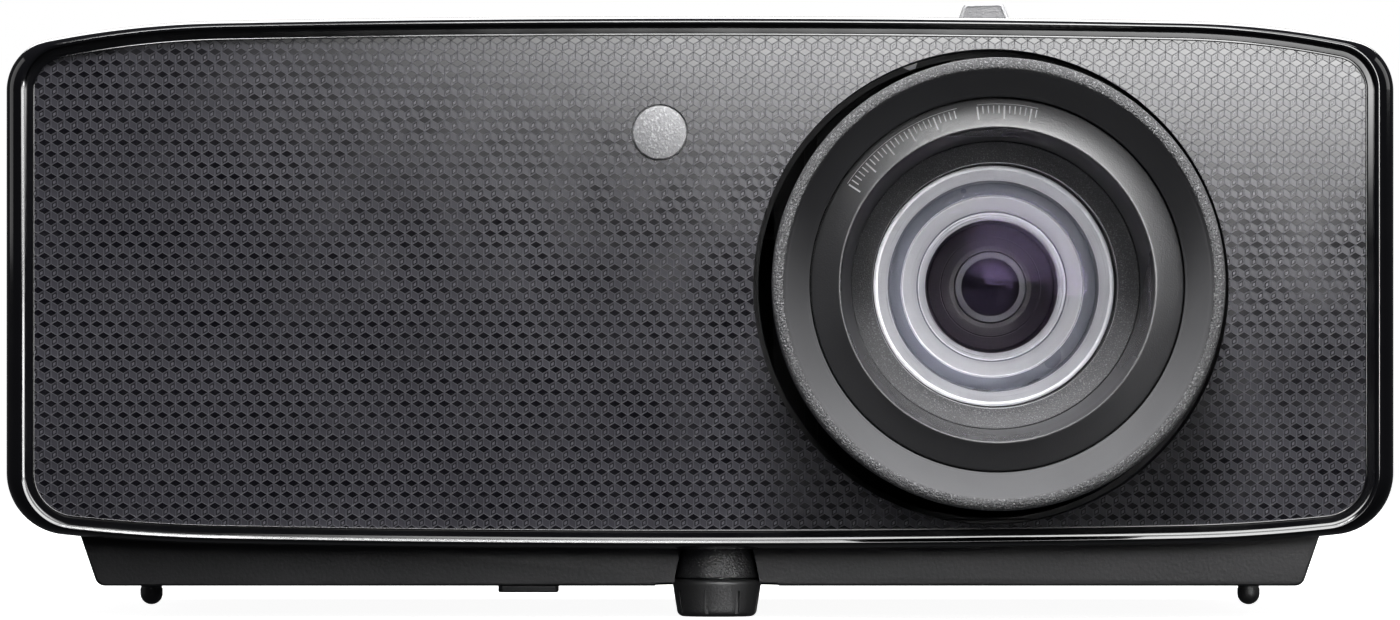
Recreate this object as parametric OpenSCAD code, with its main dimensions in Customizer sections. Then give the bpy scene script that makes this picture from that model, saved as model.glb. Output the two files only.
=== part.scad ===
// Home projector with an offset zoom lens: rounded shell on a tapered tray, patterned front panel,
// shiftable lens carriage, screw feet, keypad, and the light engine with its cooling inside.
// Millimetres. +Z is up and the lens looks along -Y. The origin is on the surface that the
// projector stands on, under the middle of its bounding box.

/* [Body] */
// Width of the shell
body_w = 400; // [390:1:410]
// Length of the whole projector, from the lens's front rim to the back edge
overall_d = 340; // [336:1:344]
// Height of the shell's crown above the surface
body_top = 173.4; // [173:0.1:174]
// Height of the shell's lowest edge above the surface
body_bottom = 19.8; // [19.4:0.1:20]
// Thickness of the moulded walls
wall = 2.5; // [2:0.1:3]
// Height of the seam between the top cover and the bottom case
seam_z = 60; // [58:1:62]

/* [Tray] */
// Height of the tray's underside above the surface
tray_z = 8.9; // [8.6:0.1:9.2]
// Half of the tray's width at its underside
tray_half = 174.6; // [173:0.1:176]

/* [Lens] */
// Radius of the lens's front rim
lens_r = 64.5; // [64:0.1:64.8]
// How far the front rim stands out of the bezel
lens_proud = 36; // [34:1:38]
// Radius of the round opening in the front panel
bay_r = 68.5; // [68.5:0.1:69]
// Sideways place of the opening's centre
bay_x = 83.8; // [82:0.1:85]
// Height of the opening's centre
bay_z = 95.4; // [95:0.1:96]
// Sideways lens shift that is dialled in at rest
rest_shift_x = 1.2; // [0:0.1:1.4]
// Upward lens shift that is dialled in at rest
rest_shift_z = 0.4; // [0:0.1:1]
// Angle of the zoom lever from straight up at rest
lever_lean = -1.7; // [-3:0.1:0]

/* [Feet] */
// Sideways place of the front foot
foot_x = 4.9; // [0:0.1:10]
// Largest radius of the front foot's knob
knob_r = 13.2; // [12:0.1:14]
// Half the distance between the rear feet
rear_foot_x = 168; // [166:0.5:168]
// Radius of a rear foot
rear_foot_r = 3.45; // [3:0.05:3.8]

/* [Ceiling mount] */
// Distance between the threaded inserts from side to side
insert_dx = 220; // [200:5:240]
// Distance between the threaded inserts from front to back
insert_dy = 140; // [120:5:150]

/* [Hidden] */
$fn = 72;
// Clearance left between pieces, and the smaller one of a running fit
gap = 0.3;
fit = 0.08;

// Fore-and-aft stations
rim_y = -overall_d / 2;
back_y = overall_d / 2;
ridge_y = rim_y + lens_proud;
panel_y = ridge_y + 3;
panel_t = 2.2;
shell_y = ridge_y + 16;
rear_panel_y = back_y - 8.5;
tray_front_y = shell_y + 6;
tray_back_y = back_y - 10;

// Outline of the shell seen from the front: a crown, a middle arc and a corner on each quarter
crown_r = 7000;
crown_run = 60;
top_arc_r = 270;
top_corner_run = 12;
low_arc_r = 500;
low_corner_run = 16;
mid_z = (body_top + body_bottom) / 2;
half_h = (body_top - body_bottom) / 2;
bezel_side = 2.7;
bezel_inset = 5.7;

// Lens axis and the stations along it
lens_x = bay_x + rest_shift_x;
lens_z = bay_z + rest_shift_z;
funnel_r = 53.6;
funnel_y = rim_y + 16;
cell_y = rim_y + 44;
inner_cell_y = cell_y + 13;
focus_back_y = rim_y + 29;
mount_y = -42;
h_plate_y = mount_y - gap - 3;
v_plate_y = h_plate_y - gap - 3;
zoom_y = -98;
zoom_len = 16;
tube_r = 36;
lever_y = -94;
lever_t = 6;
lever_top = 178.4;

// Front foot
foot_y = tray_front_y + 6;
collar_z = 11.2;
screw_r = 4;

// Rear feet
rear_foot_y = 60;

// Vents in the side walls
vent_y = 20;
vent_z = 104;
vent_len = 180;
vent_h = 74;
slat_count = 21;

// Infrared window in the front panel
ir_x = -11.6;
ir_z = 139.8;
ir_r = 8.25;

// Fasteners and circuit boards
screw_hole_r = 1.6;
insert_outer_r = 3;
insert_r = 1.65;
insert_len = 8;
board_t = 1.6;
main_board_z = 34;
power_board_z = 30;

// Keypad
pad_x = -110;
pad_y = 95;
pad_w = 88;
pad_d = 50;
pad_z = 171.4;
pad_pitch = 13.5;
pad_cx = pad_x + 16;
keypad_board_z = 160;
button_r = 4.5;
button_proud = 0.8;
button_low_z = 163.6;

// Shift dials
dial_r = 8;
dial_y = -52;
h_dial_x = 24;
v_dial_x = 142;

// Light engine
engine_half = 40;
engine_back = 46;
engine_t = 4;
tunnel_half = 5;
dmd_half_x = 15;
dmd_half_z = 11;
laser_x = -92;
beam_y = 6;
beam_z = 96;
phosphor_z = 72;
color_z = 122;
wheel_r = 29;
spindle_r = 1.5;

// Cooling
pipe_r = 3;
fin_pitch = 8;
fin_count = 19;
fin_y0 = -60;
pipe_ys = [for (k = [4, 6, 8, 10]) fin_y0 + fin_pitch / 2 + k * fin_pitch];
fan_size = 70;
fan_depth = 22;
grille_t = 3.4;
fan_x = -body_w / 2 + gap + grille_t;
fan_ys = [-26, 62];

// Connectors on the back, as [x, width, height]; they stand on the main board
port_z = main_board_z + board_t;
port_y = rear_panel_y + 0.6;
lan_port = [-60, 15.8, 13.6];
hdmi_ports = [[-20, 15, 6], [8, 15, 6]];
usb_port = [36, 13.4, 6.4];
serial_port = [66, 19, 10];
jack_xs = [90, 104];
jack_r = 3.8;
inlet_x = 148;
inlet_z = 50;
inlet_w = 28;
inlet_h = 21;

// ---- Outlines and small helpers ----

// Points of an arc about c, with angles from straight up towards +X, leaving out the first point
function arc_points(c, r, a0, a1, n) =
    [for (i = [1:n]) let (a = a0 + (a1 - a0) * i / n) [c[0] + r * sin(a), c[1] + r * cos(a)]];

// One quarter of the shell's outline as three tangent arcs, from the crown's middle to the side
function quarter(w, arc_r, corner_run, inset) =
    let (
        c1 = [0, half_h - crown_r],
        a1 = asin((w - crown_run) / crown_r),
        c2 = c1 + (crown_r - arc_r) * [sin(a1), cos(a1)],
        a2 = asin((w - corner_run - c2[0]) / arc_r),
        corner_r = corner_run / (1 - sin(a2)),
        c3 = c2 + (arc_r - corner_r) * [sin(a2), cos(a2)]
    )
    concat(
        [[0, half_h - inset]],
        arc_points(c1, crown_r - inset, 0, a1, 4),
        arc_points(c2, arc_r - inset, a1, a2, 5),
        arc_points(c3, corner_r - inset, a2, 90, 8)
    );

function backwards(points) = [for (i = [len(points) - 1:-1:0]) points[i]];

// The shell's outline, narrowed by side and then set in parallel to itself by inset
function outline(side, inset) =
    let (
        w = body_w / 2 - side,
        top = [for (p = quarter(w, top_arc_r, top_corner_run, inset)) [p[0], mid_z + p[1]]],
        low = [for (p = quarter(w, low_arc_r, low_corner_run, inset)) [p[0], mid_z - p[1]]],
        right = concat(top, backwards(low)),
        inner = [for (i = [1:len(right) - 2]) right[i]]
    )
    concat(right, [for (p = backwards(inner)) [-p[0], p[1]]]);

// Extrudes a front-view outline from y0 back to y1
module along_y(y0, y1) {
    translate([0, y1, 0]) rotate([90, 0, 0]) linear_extrude(y1 - y0) children();
}

module slab(side, inset, y0, y1) {
    along_y(y0, y1) polygon(outline(side, inset));
}

module cyl_y(r, y0, y1, x, z) {
    translate([x, y1, z]) rotate([90, 0, 0]) cylinder(r = r, h = y1 - y0);
}

module cyl_x(r, x0, x1, y, z) {
    translate([x0, y, z]) rotate([0, 90, 0]) cylinder(r = r, h = x1 - x0);
}

module box(x0, x1, y0, y1, z0, z1) {
    translate([x0, y0, z0]) cube([x1 - x0, y1 - y0, z1 - z0]);
}

// A rounded-corner plate lying flat, centred on x and y
module plate(x, y, w, d, r, z0, z1) {
    translate([x, y, z0]) linear_extrude(z1 - z0) offset(r) square([w - 2 * r, d - 2 * r], center = true);
}

// A slot of width w and overall length d with round ends
module slot_shape(w, d) {
    square([w, d - w], center = true);
    for (s = [-1, 1]) {
        translate([0, s * (d - w) / 2]) circle(r = w / 2);
    }
}

// Turns a profile of [radius, y] points about the lens axis
module lens_turn() {
    translate([lens_x, 0, lens_z]) rotate([-90, 0, 0]) rotate_extrude($fn = 120) children();
}

// Height of the shell's crown at x
function crown_z(x) = body_top - x * x / (2 * crown_r);

// ---- Shell ----

// The shell's outer form, with its back edge drawn in
module shell_form() {
    edge = 2;
    hull() {
        slab(0, 0, shell_y, rear_panel_y + wall);
        slab(edge, edge, back_y - 0.1, back_y);
    }
}

// What is hollow in the shell: the room inside and the slightly smaller opening at the back
module shell_room() {
    slab(0, wall, shell_y - 1, rear_panel_y);
    slab(0, 2 * wall, rear_panel_y - 1, back_y + 1);
}

// The tray's front-view section, grown by g
module tray_section(g) {
    slope = 7.6;
    rise = 22;
    corner = 3;
    offset(g) offset(corner) offset(-corner)
        polygon([
            [-tray_half, tray_z], [tray_half, tray_z],
            [tray_half + slope, tray_z + rise], [-tray_half - slope, tray_z + rise]
        ]);
}

// Where the screws and the bosses for the boards stand, as [x, y]
case_screw_at = [for (x = [-150, 0, 150], y = [-60, 140]) [x, y]];
insert_at = [for (x = [-1, 1], y = [-1, 1]) [x * insert_dx / 2, 30 + y * insert_dy / 2]];
main_post_at = [for (x = [-122, 130], y = [98, 150]) [x, y]];
power_post_at = [for (x = [-165, -60], y = [-96, -78]) [x, y]];

// The case's screw pads, and the round standoffs on them
standoff_r = 5;
standoff_top = tray_z + 14;
pad_h = 5;

module bottom_case() {
    notch_r = 18.8;
    slot_count = 12;
    slot_pitch = 6;
    color([0.05, 0.05, 0.055]) difference() {
        union() {
            difference() {
                union() {
                    intersection() {
                        shell_form();
                        box(-300, 300, -300, 300, 0, seam_z);
                    }
                    along_y(tray_front_y, tray_back_y) tray_section(0);
                }
                shell_room();
                along_y(tray_front_y + wall, tray_back_y - wall) tray_section(-wall);
            }
            for (p = concat(case_screw_at, insert_at)) {
                translate([p[0], p[1], tray_z]) cylinder(r = standoff_r, h = pad_h);
            }
            for (s = [-1, 1]) {
                translate([s * rear_foot_x, rear_foot_y, tray_z]) cylinder(r = 6, h = 24);
            }
            translate([foot_x, foot_y, 21]) cylinder(r = 11, h = 23);
            plate(-49.8, tray_front_y + 9, 17.4, 16, 1.5, tray_z - 1.9, tray_z + 1);
        }
        translate([foot_x, foot_y, tray_z - 1]) cylinder(r = notch_r, h = 2);
        translate([foot_x, foot_y, 0]) cylinder(r = 9.2, h = 60);
        translate([foot_x, foot_y, 0]) cylinder(r = 12.2, h = 21);
        translate([foot_x, foot_y, 0]) cylinder(r = knob_r + gap, h = tray_z + wall + gap);
        for (s = [-1, 1]) {
            translate([s * rear_foot_x, rear_foot_y, 0]) cylinder(r = rear_foot_r + gap, h = 60);
        }
        for (p = case_screw_at) {
            translate([p[0], p[1], 0]) cylinder(r = screw_hole_r, h = tray_z + pad_h + 1);
            translate([p[0], p[1], 0]) cylinder(r = 3.2, h = tray_z + 2.2);
        }
        for (p = insert_at) {
            translate([p[0], p[1], 0]) cylinder(r = insert_outer_r, h = tray_z + pad_h + 1);
        }
        for (i = [0:slot_count - 1]) {
            translate([-90 + i * slot_pitch, -30, tray_z - 1]) linear_extrude(wall + 2) slot_shape(3, 44);
        }
    }
}

module top_cover() {
    lever_slot_w = 56;
    lever_slot_d = lever_t + 2.4;
    color([0.04, 0.04, 0.045]) difference() {
        intersection() {
            shell_form();
            box(-300, 300, -300, 300, seam_z + 0.01, 300);
        }
        shell_room();
        box(
            -300, 300, vent_y - vent_len / 2, vent_y + vent_len / 2,
            vent_z - vent_h / 2, vent_z + vent_h / 2
        );
        plate(lens_x - 3.6, lever_y, lever_slot_w, lever_slot_d, 4, 150, 200);
        box(
            pad_x - pad_w / 2, pad_x + pad_w / 2,
            pad_y - pad_d / 2, pad_y + pad_d / 2, 150, 200
        );
        for (x = [h_dial_x, v_dial_x]) {
            translate([x, dial_y, 150]) cylinder(r = dial_r + gap, h = 50);
        }
    }
}

// A glossy frame: its ridge stands forward, with a rounded outside and a bevel down to the panel
module front_bezel() {
    ridge_side = 2.8;
    ridge_inset = 1.5;
    pocket_inset = 3.7;
    color([0.015, 0.015, 0.02]) difference() {
        hull() {
            slab(0, 0, ridge_y + 7, shell_y - 0.1);
            slab(0.9, 0.5, ridge_y + 2.5, ridge_y + 2.6);
            slab(ridge_side, ridge_inset, ridge_y, ridge_y + 0.1);
        }
        hull() {
            slab(ridge_side, ridge_inset + 0.3, ridge_y - 0.1, ridge_y - 0.05);
            slab(bezel_side, bezel_inset, panel_y - 0.2, panel_y - 0.1);
        }
        slab(bezel_side, bezel_inset, ridge_y - 1, shell_y + 1);
        slab(bezel_side, pocket_inset, panel_y, shell_y + 1);
    }
}

module front_panel() {
    color([0.2, 0.2, 0.22]) difference() {
        slab(bezel_side, bezel_inset - 1.8, panel_y, panel_y + panel_t);
        cyl_y(bay_r, panel_y - 1, panel_y + panel_t + 1, bay_x, bay_z);
        cyl_y(ir_r, panel_y - 1, panel_y + panel_t + 1, ir_x, ir_z);
    }
}

// Black tube that lines the round opening behind the panel, with a lip that closes in on the lens
module lens_bay_liner() {
    lip = 1.7;
    color([0.01, 0.01, 0.012]) difference() {
        cyl_y(bay_r + 1, panel_y + panel_t, shell_y + 12, bay_x, bay_z);
        cyl_y(bay_r, panel_y, shell_y + 10, bay_x, bay_z);
        cyl_y(bay_r - lip, panel_y, shell_y + 13, bay_x, bay_z);
    }
}

module ir_window() {
    color([0.25, 0.25, 0.27]) {
        cyl_y(ir_r - 0.45, panel_y - 0.1, panel_y + panel_t, ir_x, ir_z);
        cyl_y(10, panel_y + panel_t, panel_y + panel_t + 1.5, ir_x, ir_z);
    }
}

// ---- Back panel and grilles ----

// A block of a connector's outline from y0 to y1, standing on the main board and grown by g
module port_block(p, y0, y1, g) {
    box(p[0] - p[1] / 2 - g, p[0] + p[1] / 2 + g, y0, y1, port_z - g, port_z + p[2] + g);
}

module inlet_block(y0, y1, g) {
    cy = (y0 + y1) / 2;
    translate([inlet_x, cy, inlet_z]) cube([inlet_w + 2 * g, y1 - y0, inlet_h + 2 * g], center = true);
}

module rear_panel() {
    slot_count = 18;
    color([0.06, 0.06, 0.065]) difference() {
        slab(0, wall + gap, rear_panel_y - wall, rear_panel_y);
        for (p = concat([lan_port, usb_port, serial_port], hdmi_ports)) {
            port_block(p, rear_panel_y - 5, rear_panel_y + 5, gap);
        }
        for (x = jack_xs) {
            cyl_y(jack_r + gap, rear_panel_y - 5, rear_panel_y + 5, x, port_z + jack_r);
        }
        inlet_block(rear_panel_y - 5, rear_panel_y + 5, gap);
        for (i = [0:slot_count - 1], k = [0:1]) {
            translate([-120 + i * 8, rear_panel_y + 1, 88 + k * 34])
                rotate([90, 0, 0]) linear_extrude(wall + 2) slot_shape(4, 24.8);
        }
    }
}

// A framed grille for one side wall, with slanted slats. s is -1 on the left and 1 on the right
module side_grille(s) {
    frame_w = 4;
    depth = grille_t;
    x_out = s * (body_w / 2 - gap);
    y0 = vent_y - vent_len / 2 + gap;
    y1 = vent_y + vent_len / 2 - gap;
    z0 = vent_z - vent_h / 2 + gap;
    z1 = vent_z + vent_h / 2 - gap;
    x0 = min(x_out, x_out - s * depth);
    pitch = (y1 - y0 - 2 * frame_w) / slat_count;
    difference() {
        box(x0, x0 + depth, y0, y1, z0, z1);
        box(x0 - 1, x0 + depth + 1, y0 + frame_w, y1 - frame_w, z0 + frame_w, z1 - frame_w);
    }
    for (i = [1:slat_count - 1]) {
        translate([x0 + depth / 2, y0 + frame_w + i * pitch, (z0 + z1) / 2])
            rotate([0, 0, s * 35])
            cube([2.6, 1.4, z1 - z0 - 2 * frame_w + 0.4], center = true);
    }
    box(x0, x0 + depth, y0, y1, vent_z - 1.5, vent_z + 1.5);
}

module exhaust_grille() {
    color([0.05, 0.05, 0.055]) side_grille(-1);
}

module intake_grille() {
    color([0.05, 0.05, 0.055]) side_grille(1);
}

// ---- Keypad ----

button_at = [
    [pad_x - 32, pad_y + 10], [pad_x - 32, pad_y - 10], [pad_x - 16, pad_y - 10],
    [pad_cx, pad_y], [pad_cx, pad_y + pad_pitch], [pad_cx, pad_y - pad_pitch],
    [pad_cx - pad_pitch, pad_y], [pad_cx + pad_pitch, pad_y]
];
light_at = [for (i = [0:2]) [pad_x - 20 + i * 5, pad_y + 14]];

module keypad_plate() {
    flange_drop = 1.1;
    flange_z = crown_z(pad_x - pad_w / 2) - wall - flange_drop;
    color([0.03, 0.03, 0.035]) difference() {
        union() {
            plate(pad_x, pad_y, pad_w - 0.4, pad_d - 0.4, 1, flange_z - 0.5, pad_z);
            plate(pad_x, pad_y, pad_w + 5, pad_d + 5, 2, flange_z - 1.5, flange_z);
        }
        for (p = button_at) {
            translate([p[0], p[1], 150]) cylinder(r = button_r + gap, h = 50);
        }
        for (p = light_at) {
            translate([p[0], p[1], 150]) cylinder(r = 1.3, h = 50);
        }
    }
}

module keypad_board() {
    color([0.05, 0.25, 0.12]) {
        box(
            pad_x - pad_w / 2 + 2, pad_x + pad_w / 2 - 2,
            pad_y - pad_d / 2 + 2, pad_y + pad_d / 2 - 2, keypad_board_z - 1.6, keypad_board_z
        );
        for (p = button_at) {
            translate([p[0] - 3, p[1] - 3, keypad_board_z]) cube([6, 6, 2.4]);
        }
    }
}

module key(i) {
    color([0.09, 0.09, 0.1]) translate([button_at[i][0], button_at[i][1], 0]) {
        translate([0, 0, button_low_z]) cylinder(r = button_r, h = pad_z + button_proud - button_low_z);
        translate([0, 0, button_low_z + 1]) cylinder(r = button_r + 0.9, h = 1);
    }
}

module power_button() { key(0); }
module source_button() { key(1); }
module menu_button() { key(2); }
module enter_button() { key(3); }
module up_button() { key(4); }
module down_button() { key(5); }
module left_button() { key(6); }
module right_button() { key(7); }

module status_lights() {
    color([0.6, 0.65, 0.7]) for (p = light_at) {
        translate([p[0], p[1], keypad_board_z + 2]) cylinder(r = 1.2, h = pad_z - keypad_board_z - 1.9);
    }
}

// ---- Fasteners and feet ----

module case_screws() {
    color([0.3, 0.3, 0.32]) for (p = case_screw_at) {
        translate([p[0], p[1], tray_z + 0.3]) difference() {
            union() {
                cylinder(r = 2.9, h = 1.8);
                cylinder(r = 1.5, h = 10);
            }
            translate([0, 0, -1]) cylinder(r = 1.3, h = 2, $fn = 6);
        }
    }
}

module ceiling_inserts() {
    color([0.75, 0.6, 0.3]) for (p = insert_at) {
        translate([p[0], p[1], tray_z]) difference() {
            cylinder(r = insert_outer_r, h = insert_len);
            translate([0, 0, -1]) cylinder(r = insert_r, h = insert_len + 2);
        }
    }
}

// Round posts pressed onto the bottom case: for its screws, the inserts and the two boards
module standoffs() {
    post_r = 3;
    pad_z = tray_z + pad_h;
    floor_z = tray_z + wall;
    color([0.7, 0.7, 0.72]) {
        difference() {
            for (p = case_screw_at) {
                translate([p[0], p[1], pad_z]) cylinder(r = standoff_r, h = standoff_top - pad_z);
            }
            for (p = case_screw_at) {
                translate([p[0], p[1], 0]) cylinder(r = screw_hole_r, h = standoff_top - 2);
            }
        }
        difference() {
            for (p = insert_at) {
                translate([p[0], p[1], pad_z]) cylinder(r = standoff_r, h = standoff_top - pad_z);
            }
            for (p = insert_at) {
                translate([p[0], p[1], 0]) cylinder(r = insert_outer_r, h = tray_z + insert_len);
            }
        }
        for (p = main_post_at) {
            translate([p[0], p[1], floor_z]) cylinder(r = post_r, h = main_board_z - floor_z);
        }
        for (p = power_post_at) {
            translate([p[0], p[1], floor_z]) cylinder(r = post_r, h = power_board_z - floor_z);
        }
    }
}

// The fixed cone that the front foot's screw runs in
module foot_collar() {
    color([0.1, 0.1, 0.11]) translate([foot_x, foot_y, 0]) rotate_extrude() polygon([
        [screw_r + fit, collar_z], [11.9, collar_z], [9.9, 20.6], [9, 20.6],
        [9, 46], [screw_r + fit, 46]
    ]);
}

module foot_screw() {
    color([0.6, 0.6, 0.62]) translate([foot_x, foot_y, 4.2]) cylinder(r = screw_r, h = 47);
}

module foot_knob() {
    groove_count = 8;
    groove_w = 1.1;
    color([0.05, 0.05, 0.055]) translate([foot_x, foot_y, 0]) difference() {
        rotate_extrude() polygon(concat(
            [[0, 0], [9.6, 0]],
            [for (a = [0:22.5:90]) [9.6 + 2 * sin(a), 2 - 2 * cos(a)]],
            [[knob_r, 10.1], [11.8, collar_z - gap], [0, collar_z - gap]]
        ));
        translate([0, 0, 4]) cylinder(r = screw_r + fit, h = 20);
        for (i = [0:groove_count - 1]) {
            rotate([0, 0, -104.8 + i * 360 / groove_count])
                translate([11.4, -groove_w / 2, -1]) cube([4, groove_w, 8.5]);
        }
    }
}

module rear_foot(s) {
    color([0.04, 0.04, 0.045]) translate([s * rear_foot_x, rear_foot_y, 0]) rotate_extrude() polygon(concat(
        [[0, 0]],
        [for (a = [15:15:90]) [rear_foot_r * sin(a), rear_foot_r * (1 - cos(a))]],
        [[rear_foot_r, 38], [0, 38]]
    ));
}

module rear_foot_left() { rear_foot(-1); }
module rear_foot_right() { rear_foot(1); }

// ---- Lens carriage ----

module lens_mount() {
    rail_z = 152.3;
    low_z = 2 * lens_z - rail_z;
    x0 = lens_x - 63;
    x1 = lens_x + 63;
    color([0.5, 0.5, 0.52]) {
        difference() {
            box(x0, x1, mount_y, mount_y + 4, low_z - 4, rail_z + 4);
            cyl_y(tube_r + 5, mount_y - 1, mount_y + 5, bay_x, bay_z);
        }
        box(x0, x1, h_plate_y - 1.4, mount_y, rail_z, rail_z + 4);
        box(x0, x1, h_plate_y - 1.4, h_plate_y - gap, rail_z - 3, rail_z);
        box(x0, x1, h_plate_y - 1.4, mount_y, low_z - 4, low_z);
        box(x0, x1, h_plate_y - 1.4, h_plate_y - gap, low_z, low_z + 3);
        box(x0 + 8, x0 + 22, mount_y + 4, mount_y + 16, tray_z + wall + gap, low_z + 10);
        box(x1 - 22, x1 - 8, mount_y + 4, mount_y + 16, tray_z + wall + gap, low_z + 10);
    }
}

// Slides from side to side in the lens mount
module shift_plate_h() {
    half_z = 152.3 - gap - lens_z;
    half_x = 54;
    rail_x = 46.3;
    color([0.65, 0.65, 0.67]) {
        difference() {
            box(
                lens_x - half_x, lens_x + half_x, h_plate_y, h_plate_y + 3,
                lens_z - half_z, lens_z + half_z
            );
            cyl_y(tube_r + 4, h_plate_y - 1, h_plate_y + 4, lens_x, lens_z - 0.4);
        }
        for (s = [-1, 1]) {
            translate([lens_x + s * (rail_x + 2), v_plate_y + 0.3, lens_z]) {
                translate([-2, 0, -48]) cube([4, h_plate_y - v_plate_y - 0.3, 96]);
                translate([s > 0 ? -5 : -2, -1.8, -48]) cube([7, 1.2, 96]);
                translate([-2, -1.8, -48]) cube([4, 2.2, 96]);
            }
        }
    }
}

// Slides up and down on the first plate and carries the lens
module shift_plate_v() {
    half_x = 46;
    half_z = 44;
    color([0.65, 0.65, 0.67]) difference() {
        box(lens_x - half_x, lens_x + half_x, v_plate_y, v_plate_y + 3, lens_z - half_z, lens_z + half_z);
        cyl_y(tube_r, v_plate_y - 1, v_plate_y + 4, lens_x, lens_z);
    }
}

// A coin-slotted dial sunk into the top cover
module shift_dial(x) {
    top = crown_z(x) - 0.9;
    under = crown_z(x) - wall - gap - 0.3;
    color([0.1, 0.1, 0.11]) translate([x, dial_y, 0]) difference() {
        union() {
            translate([0, 0, under - 1.6]) cylinder(r = dial_r, h = top - under + 1.6);
            translate([0, 0, under - 1.6]) cylinder(r = dial_r + 1.6, h = 1.5);
            translate([0, 0, 160.5]) cylinder(r = 2.5, h = under - 160.5);
        }
        translate([-dial_r + 2, -0.8, top - 1.2]) cube([2 * dial_r - 4, 1.6, 3]);
    }
}

module shift_dial_h() { shift_dial(h_dial_x); }
module shift_dial_v() { shift_dial(v_dial_x); }

// ---- Lens ----

module lens_barrel() {
    color([0.03, 0.03, 0.035]) lens_turn() polygon([
        [46, funnel_y + 4], [53.3, funnel_y + 4], [53.3, focus_back_y + gap],
        [lens_r - 1, focus_back_y + gap], [lens_r - 1, zoom_y - 4], [57, zoom_y - 4],
        [57, zoom_y + zoom_len + 0.4], [42.4, zoom_y + zoom_len + 10], [42.4, v_plate_y],
        [tube_r, v_plate_y], [tube_r, mount_y + 7], [30, mount_y + 7], [30, -70], [40, -78],
        [40, cell_y + 5], [46, cell_y + 5]
    ]);
}

// The ring at the front of the lens: a textured rim, a funnel inside and a ribbed grip outside
module focus_ring() {
    color([0.06, 0.06, 0.065]) lens_turn() polygon([
        [funnel_r, funnel_y], [61.2, rim_y + 0.5], [61.7, rim_y], [lens_r - 0.9, rim_y],
        [lens_r - 0.2, rim_y + 0.5], [lens_r, rim_y + 1.2], [lens_r, rim_y + 8],
        [lens_r - 1, rim_y + 9], [lens_r - 1, rim_y + 25], [lens_r, rim_y + 26],
        [lens_r, focus_back_y], [funnel_r, focus_back_y]
    ]);
}

// The fixed cone inside the focus ring, turned to catch the light above it
module lens_face_ring() {
    color([0.12, 0.12, 0.13]) lens_turn() polygon([
        [53.3, funnel_y + 0.6], [45.4, funnel_y - 2.4], [44.8, funnel_y - 2.1],
        [41.4, funnel_y + 16], [45.7, funnel_y + 16], [45.7, funnel_y + 3.9], [53.3, funnel_y + 3.9]
    ]);
}

module glass_retainer() {
    mid_r = 38.3;
    half_w = 3.1;
    color([0.07, 0.07, 0.075]) lens_turn() polygon(concat(
        [for (a = [-90:18:90]) [mid_r + half_w * sin(a), cell_y - 6 - half_w * cos(a)]],
        [[45.9, cell_y - 6], [45.9, cell_y], [35.2, cell_y]]
    ));
}

// Meniscus front glass
module front_lens() {
    front_r = 110;
    rear_r = 96;
    half = 39.8;
    color([0.5, 0.55, 0.7, 0.4]) lens_turn() polygon(concat(
        [for (i = [0:8]) let (r = half * i / 8)
            [r, cell_y + 1.1 + front_r - sqrt(front_r * front_r - r * r) - 4]],
        [for (i = [8:-1:0]) let (r = half * i / 8)
            [r, cell_y + 6.1 + rear_r - sqrt(rear_r * rear_r - r * r) - 4]]
    ));
}

// Metal rings stepping inwards behind the front glass
module inner_cell() {
    y0 = inner_cell_y;
    color([0.6, 0.6, 0.62]) lens_turn() polygon([
        [39.9, y0 - 1], [33.4, y0 - 1], [32.8, y0 - 0.4], [30.4, y0 + 3], [29.8, y0 + 10],
        [26.6, y0 + 14], [26, y0 + 13.4], [19.4, y0 + 20], [18.6, y0 + 30], [12, y0 + 34],
        [10.6, y0 + 34], [10.6, y0 + 38], [28, y0 + 38], [39.9, y0 + 16]
    ]);
}

module inner_lens() {
    y0 = inner_cell_y + 31;
    sphere_r = 30;
    color([0.4, 0.3, 0.6, 0.4]) lens_turn() polygon(concat(
        [for (i = [0:6]) let (r = 10.4 * i / 6) [r, y0 + sphere_r - sqrt(sphere_r * sphere_r - r * r)]],
        [[10.4, y0 + 6], [0, y0 + 6]]
    ));
}

module zoom_ring() {
    color([0.08, 0.08, 0.09]) lens_turn() polygon([
        [57 + fit, zoom_y - 3.6], [62.6, zoom_y - 3.6],
        [62.6, zoom_y + zoom_len], [57 + fit, zoom_y + zoom_len]
    ]);
}

// A tapered tab on the zoom ring that stands out of the slot in the top cover
module zoom_lever() {
    base_r = 62.6;
    top_r = lever_top - lens_z;
    color([0.14, 0.14, 0.15]) translate([lens_x, lever_y + lever_t / 2, lens_z]) rotate([0, lever_lean, 0])
        rotate([90, 0, 0]) linear_extrude(lever_t) offset(2.4) offset(-2.4) polygon([
            [-11, base_r], [11, base_r], [8, base_r + 9], [7.5, top_r - 5],
            [5.6, top_r], [-5.6, top_r], [-7.5, top_r - 5], [-8, base_r + 9]
        ]);
}

// ---- Light engine ----

// Cast box behind the lens, with a port for the lens, one for the light and one for the mirror chip
module engine_housing() {
    x0 = lens_x - engine_half;
    x1 = lens_x + engine_half;
    y0 = mount_y + 4;
    z0 = lens_z - 38;
    z1 = lens_z + 40;
    t = engine_t;
    port = tunnel_half - 1.4;
    color([0.55, 0.55, 0.57]) difference() {
        box(x0, x1, y0, engine_back, z0, z1);
        box(x0 + t, x1 - t, y0 + t, engine_back - t, z0 + t, z1 - t);
        cyl_y(tube_r + 5, y0 - 1, y0 + t + 1, bay_x, bay_z);
        box(x0 - 1, x0 + t + 1, beam_y - port, beam_y + port, beam_z - port, beam_z + port);
        box(
            lens_x - dmd_half_x - 1, lens_x + dmd_half_x + 1, engine_back - t - 1, engine_back + 1,
            lens_z - dmd_half_z - 1, lens_z + dmd_half_z + 1
        );
    }
}

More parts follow.
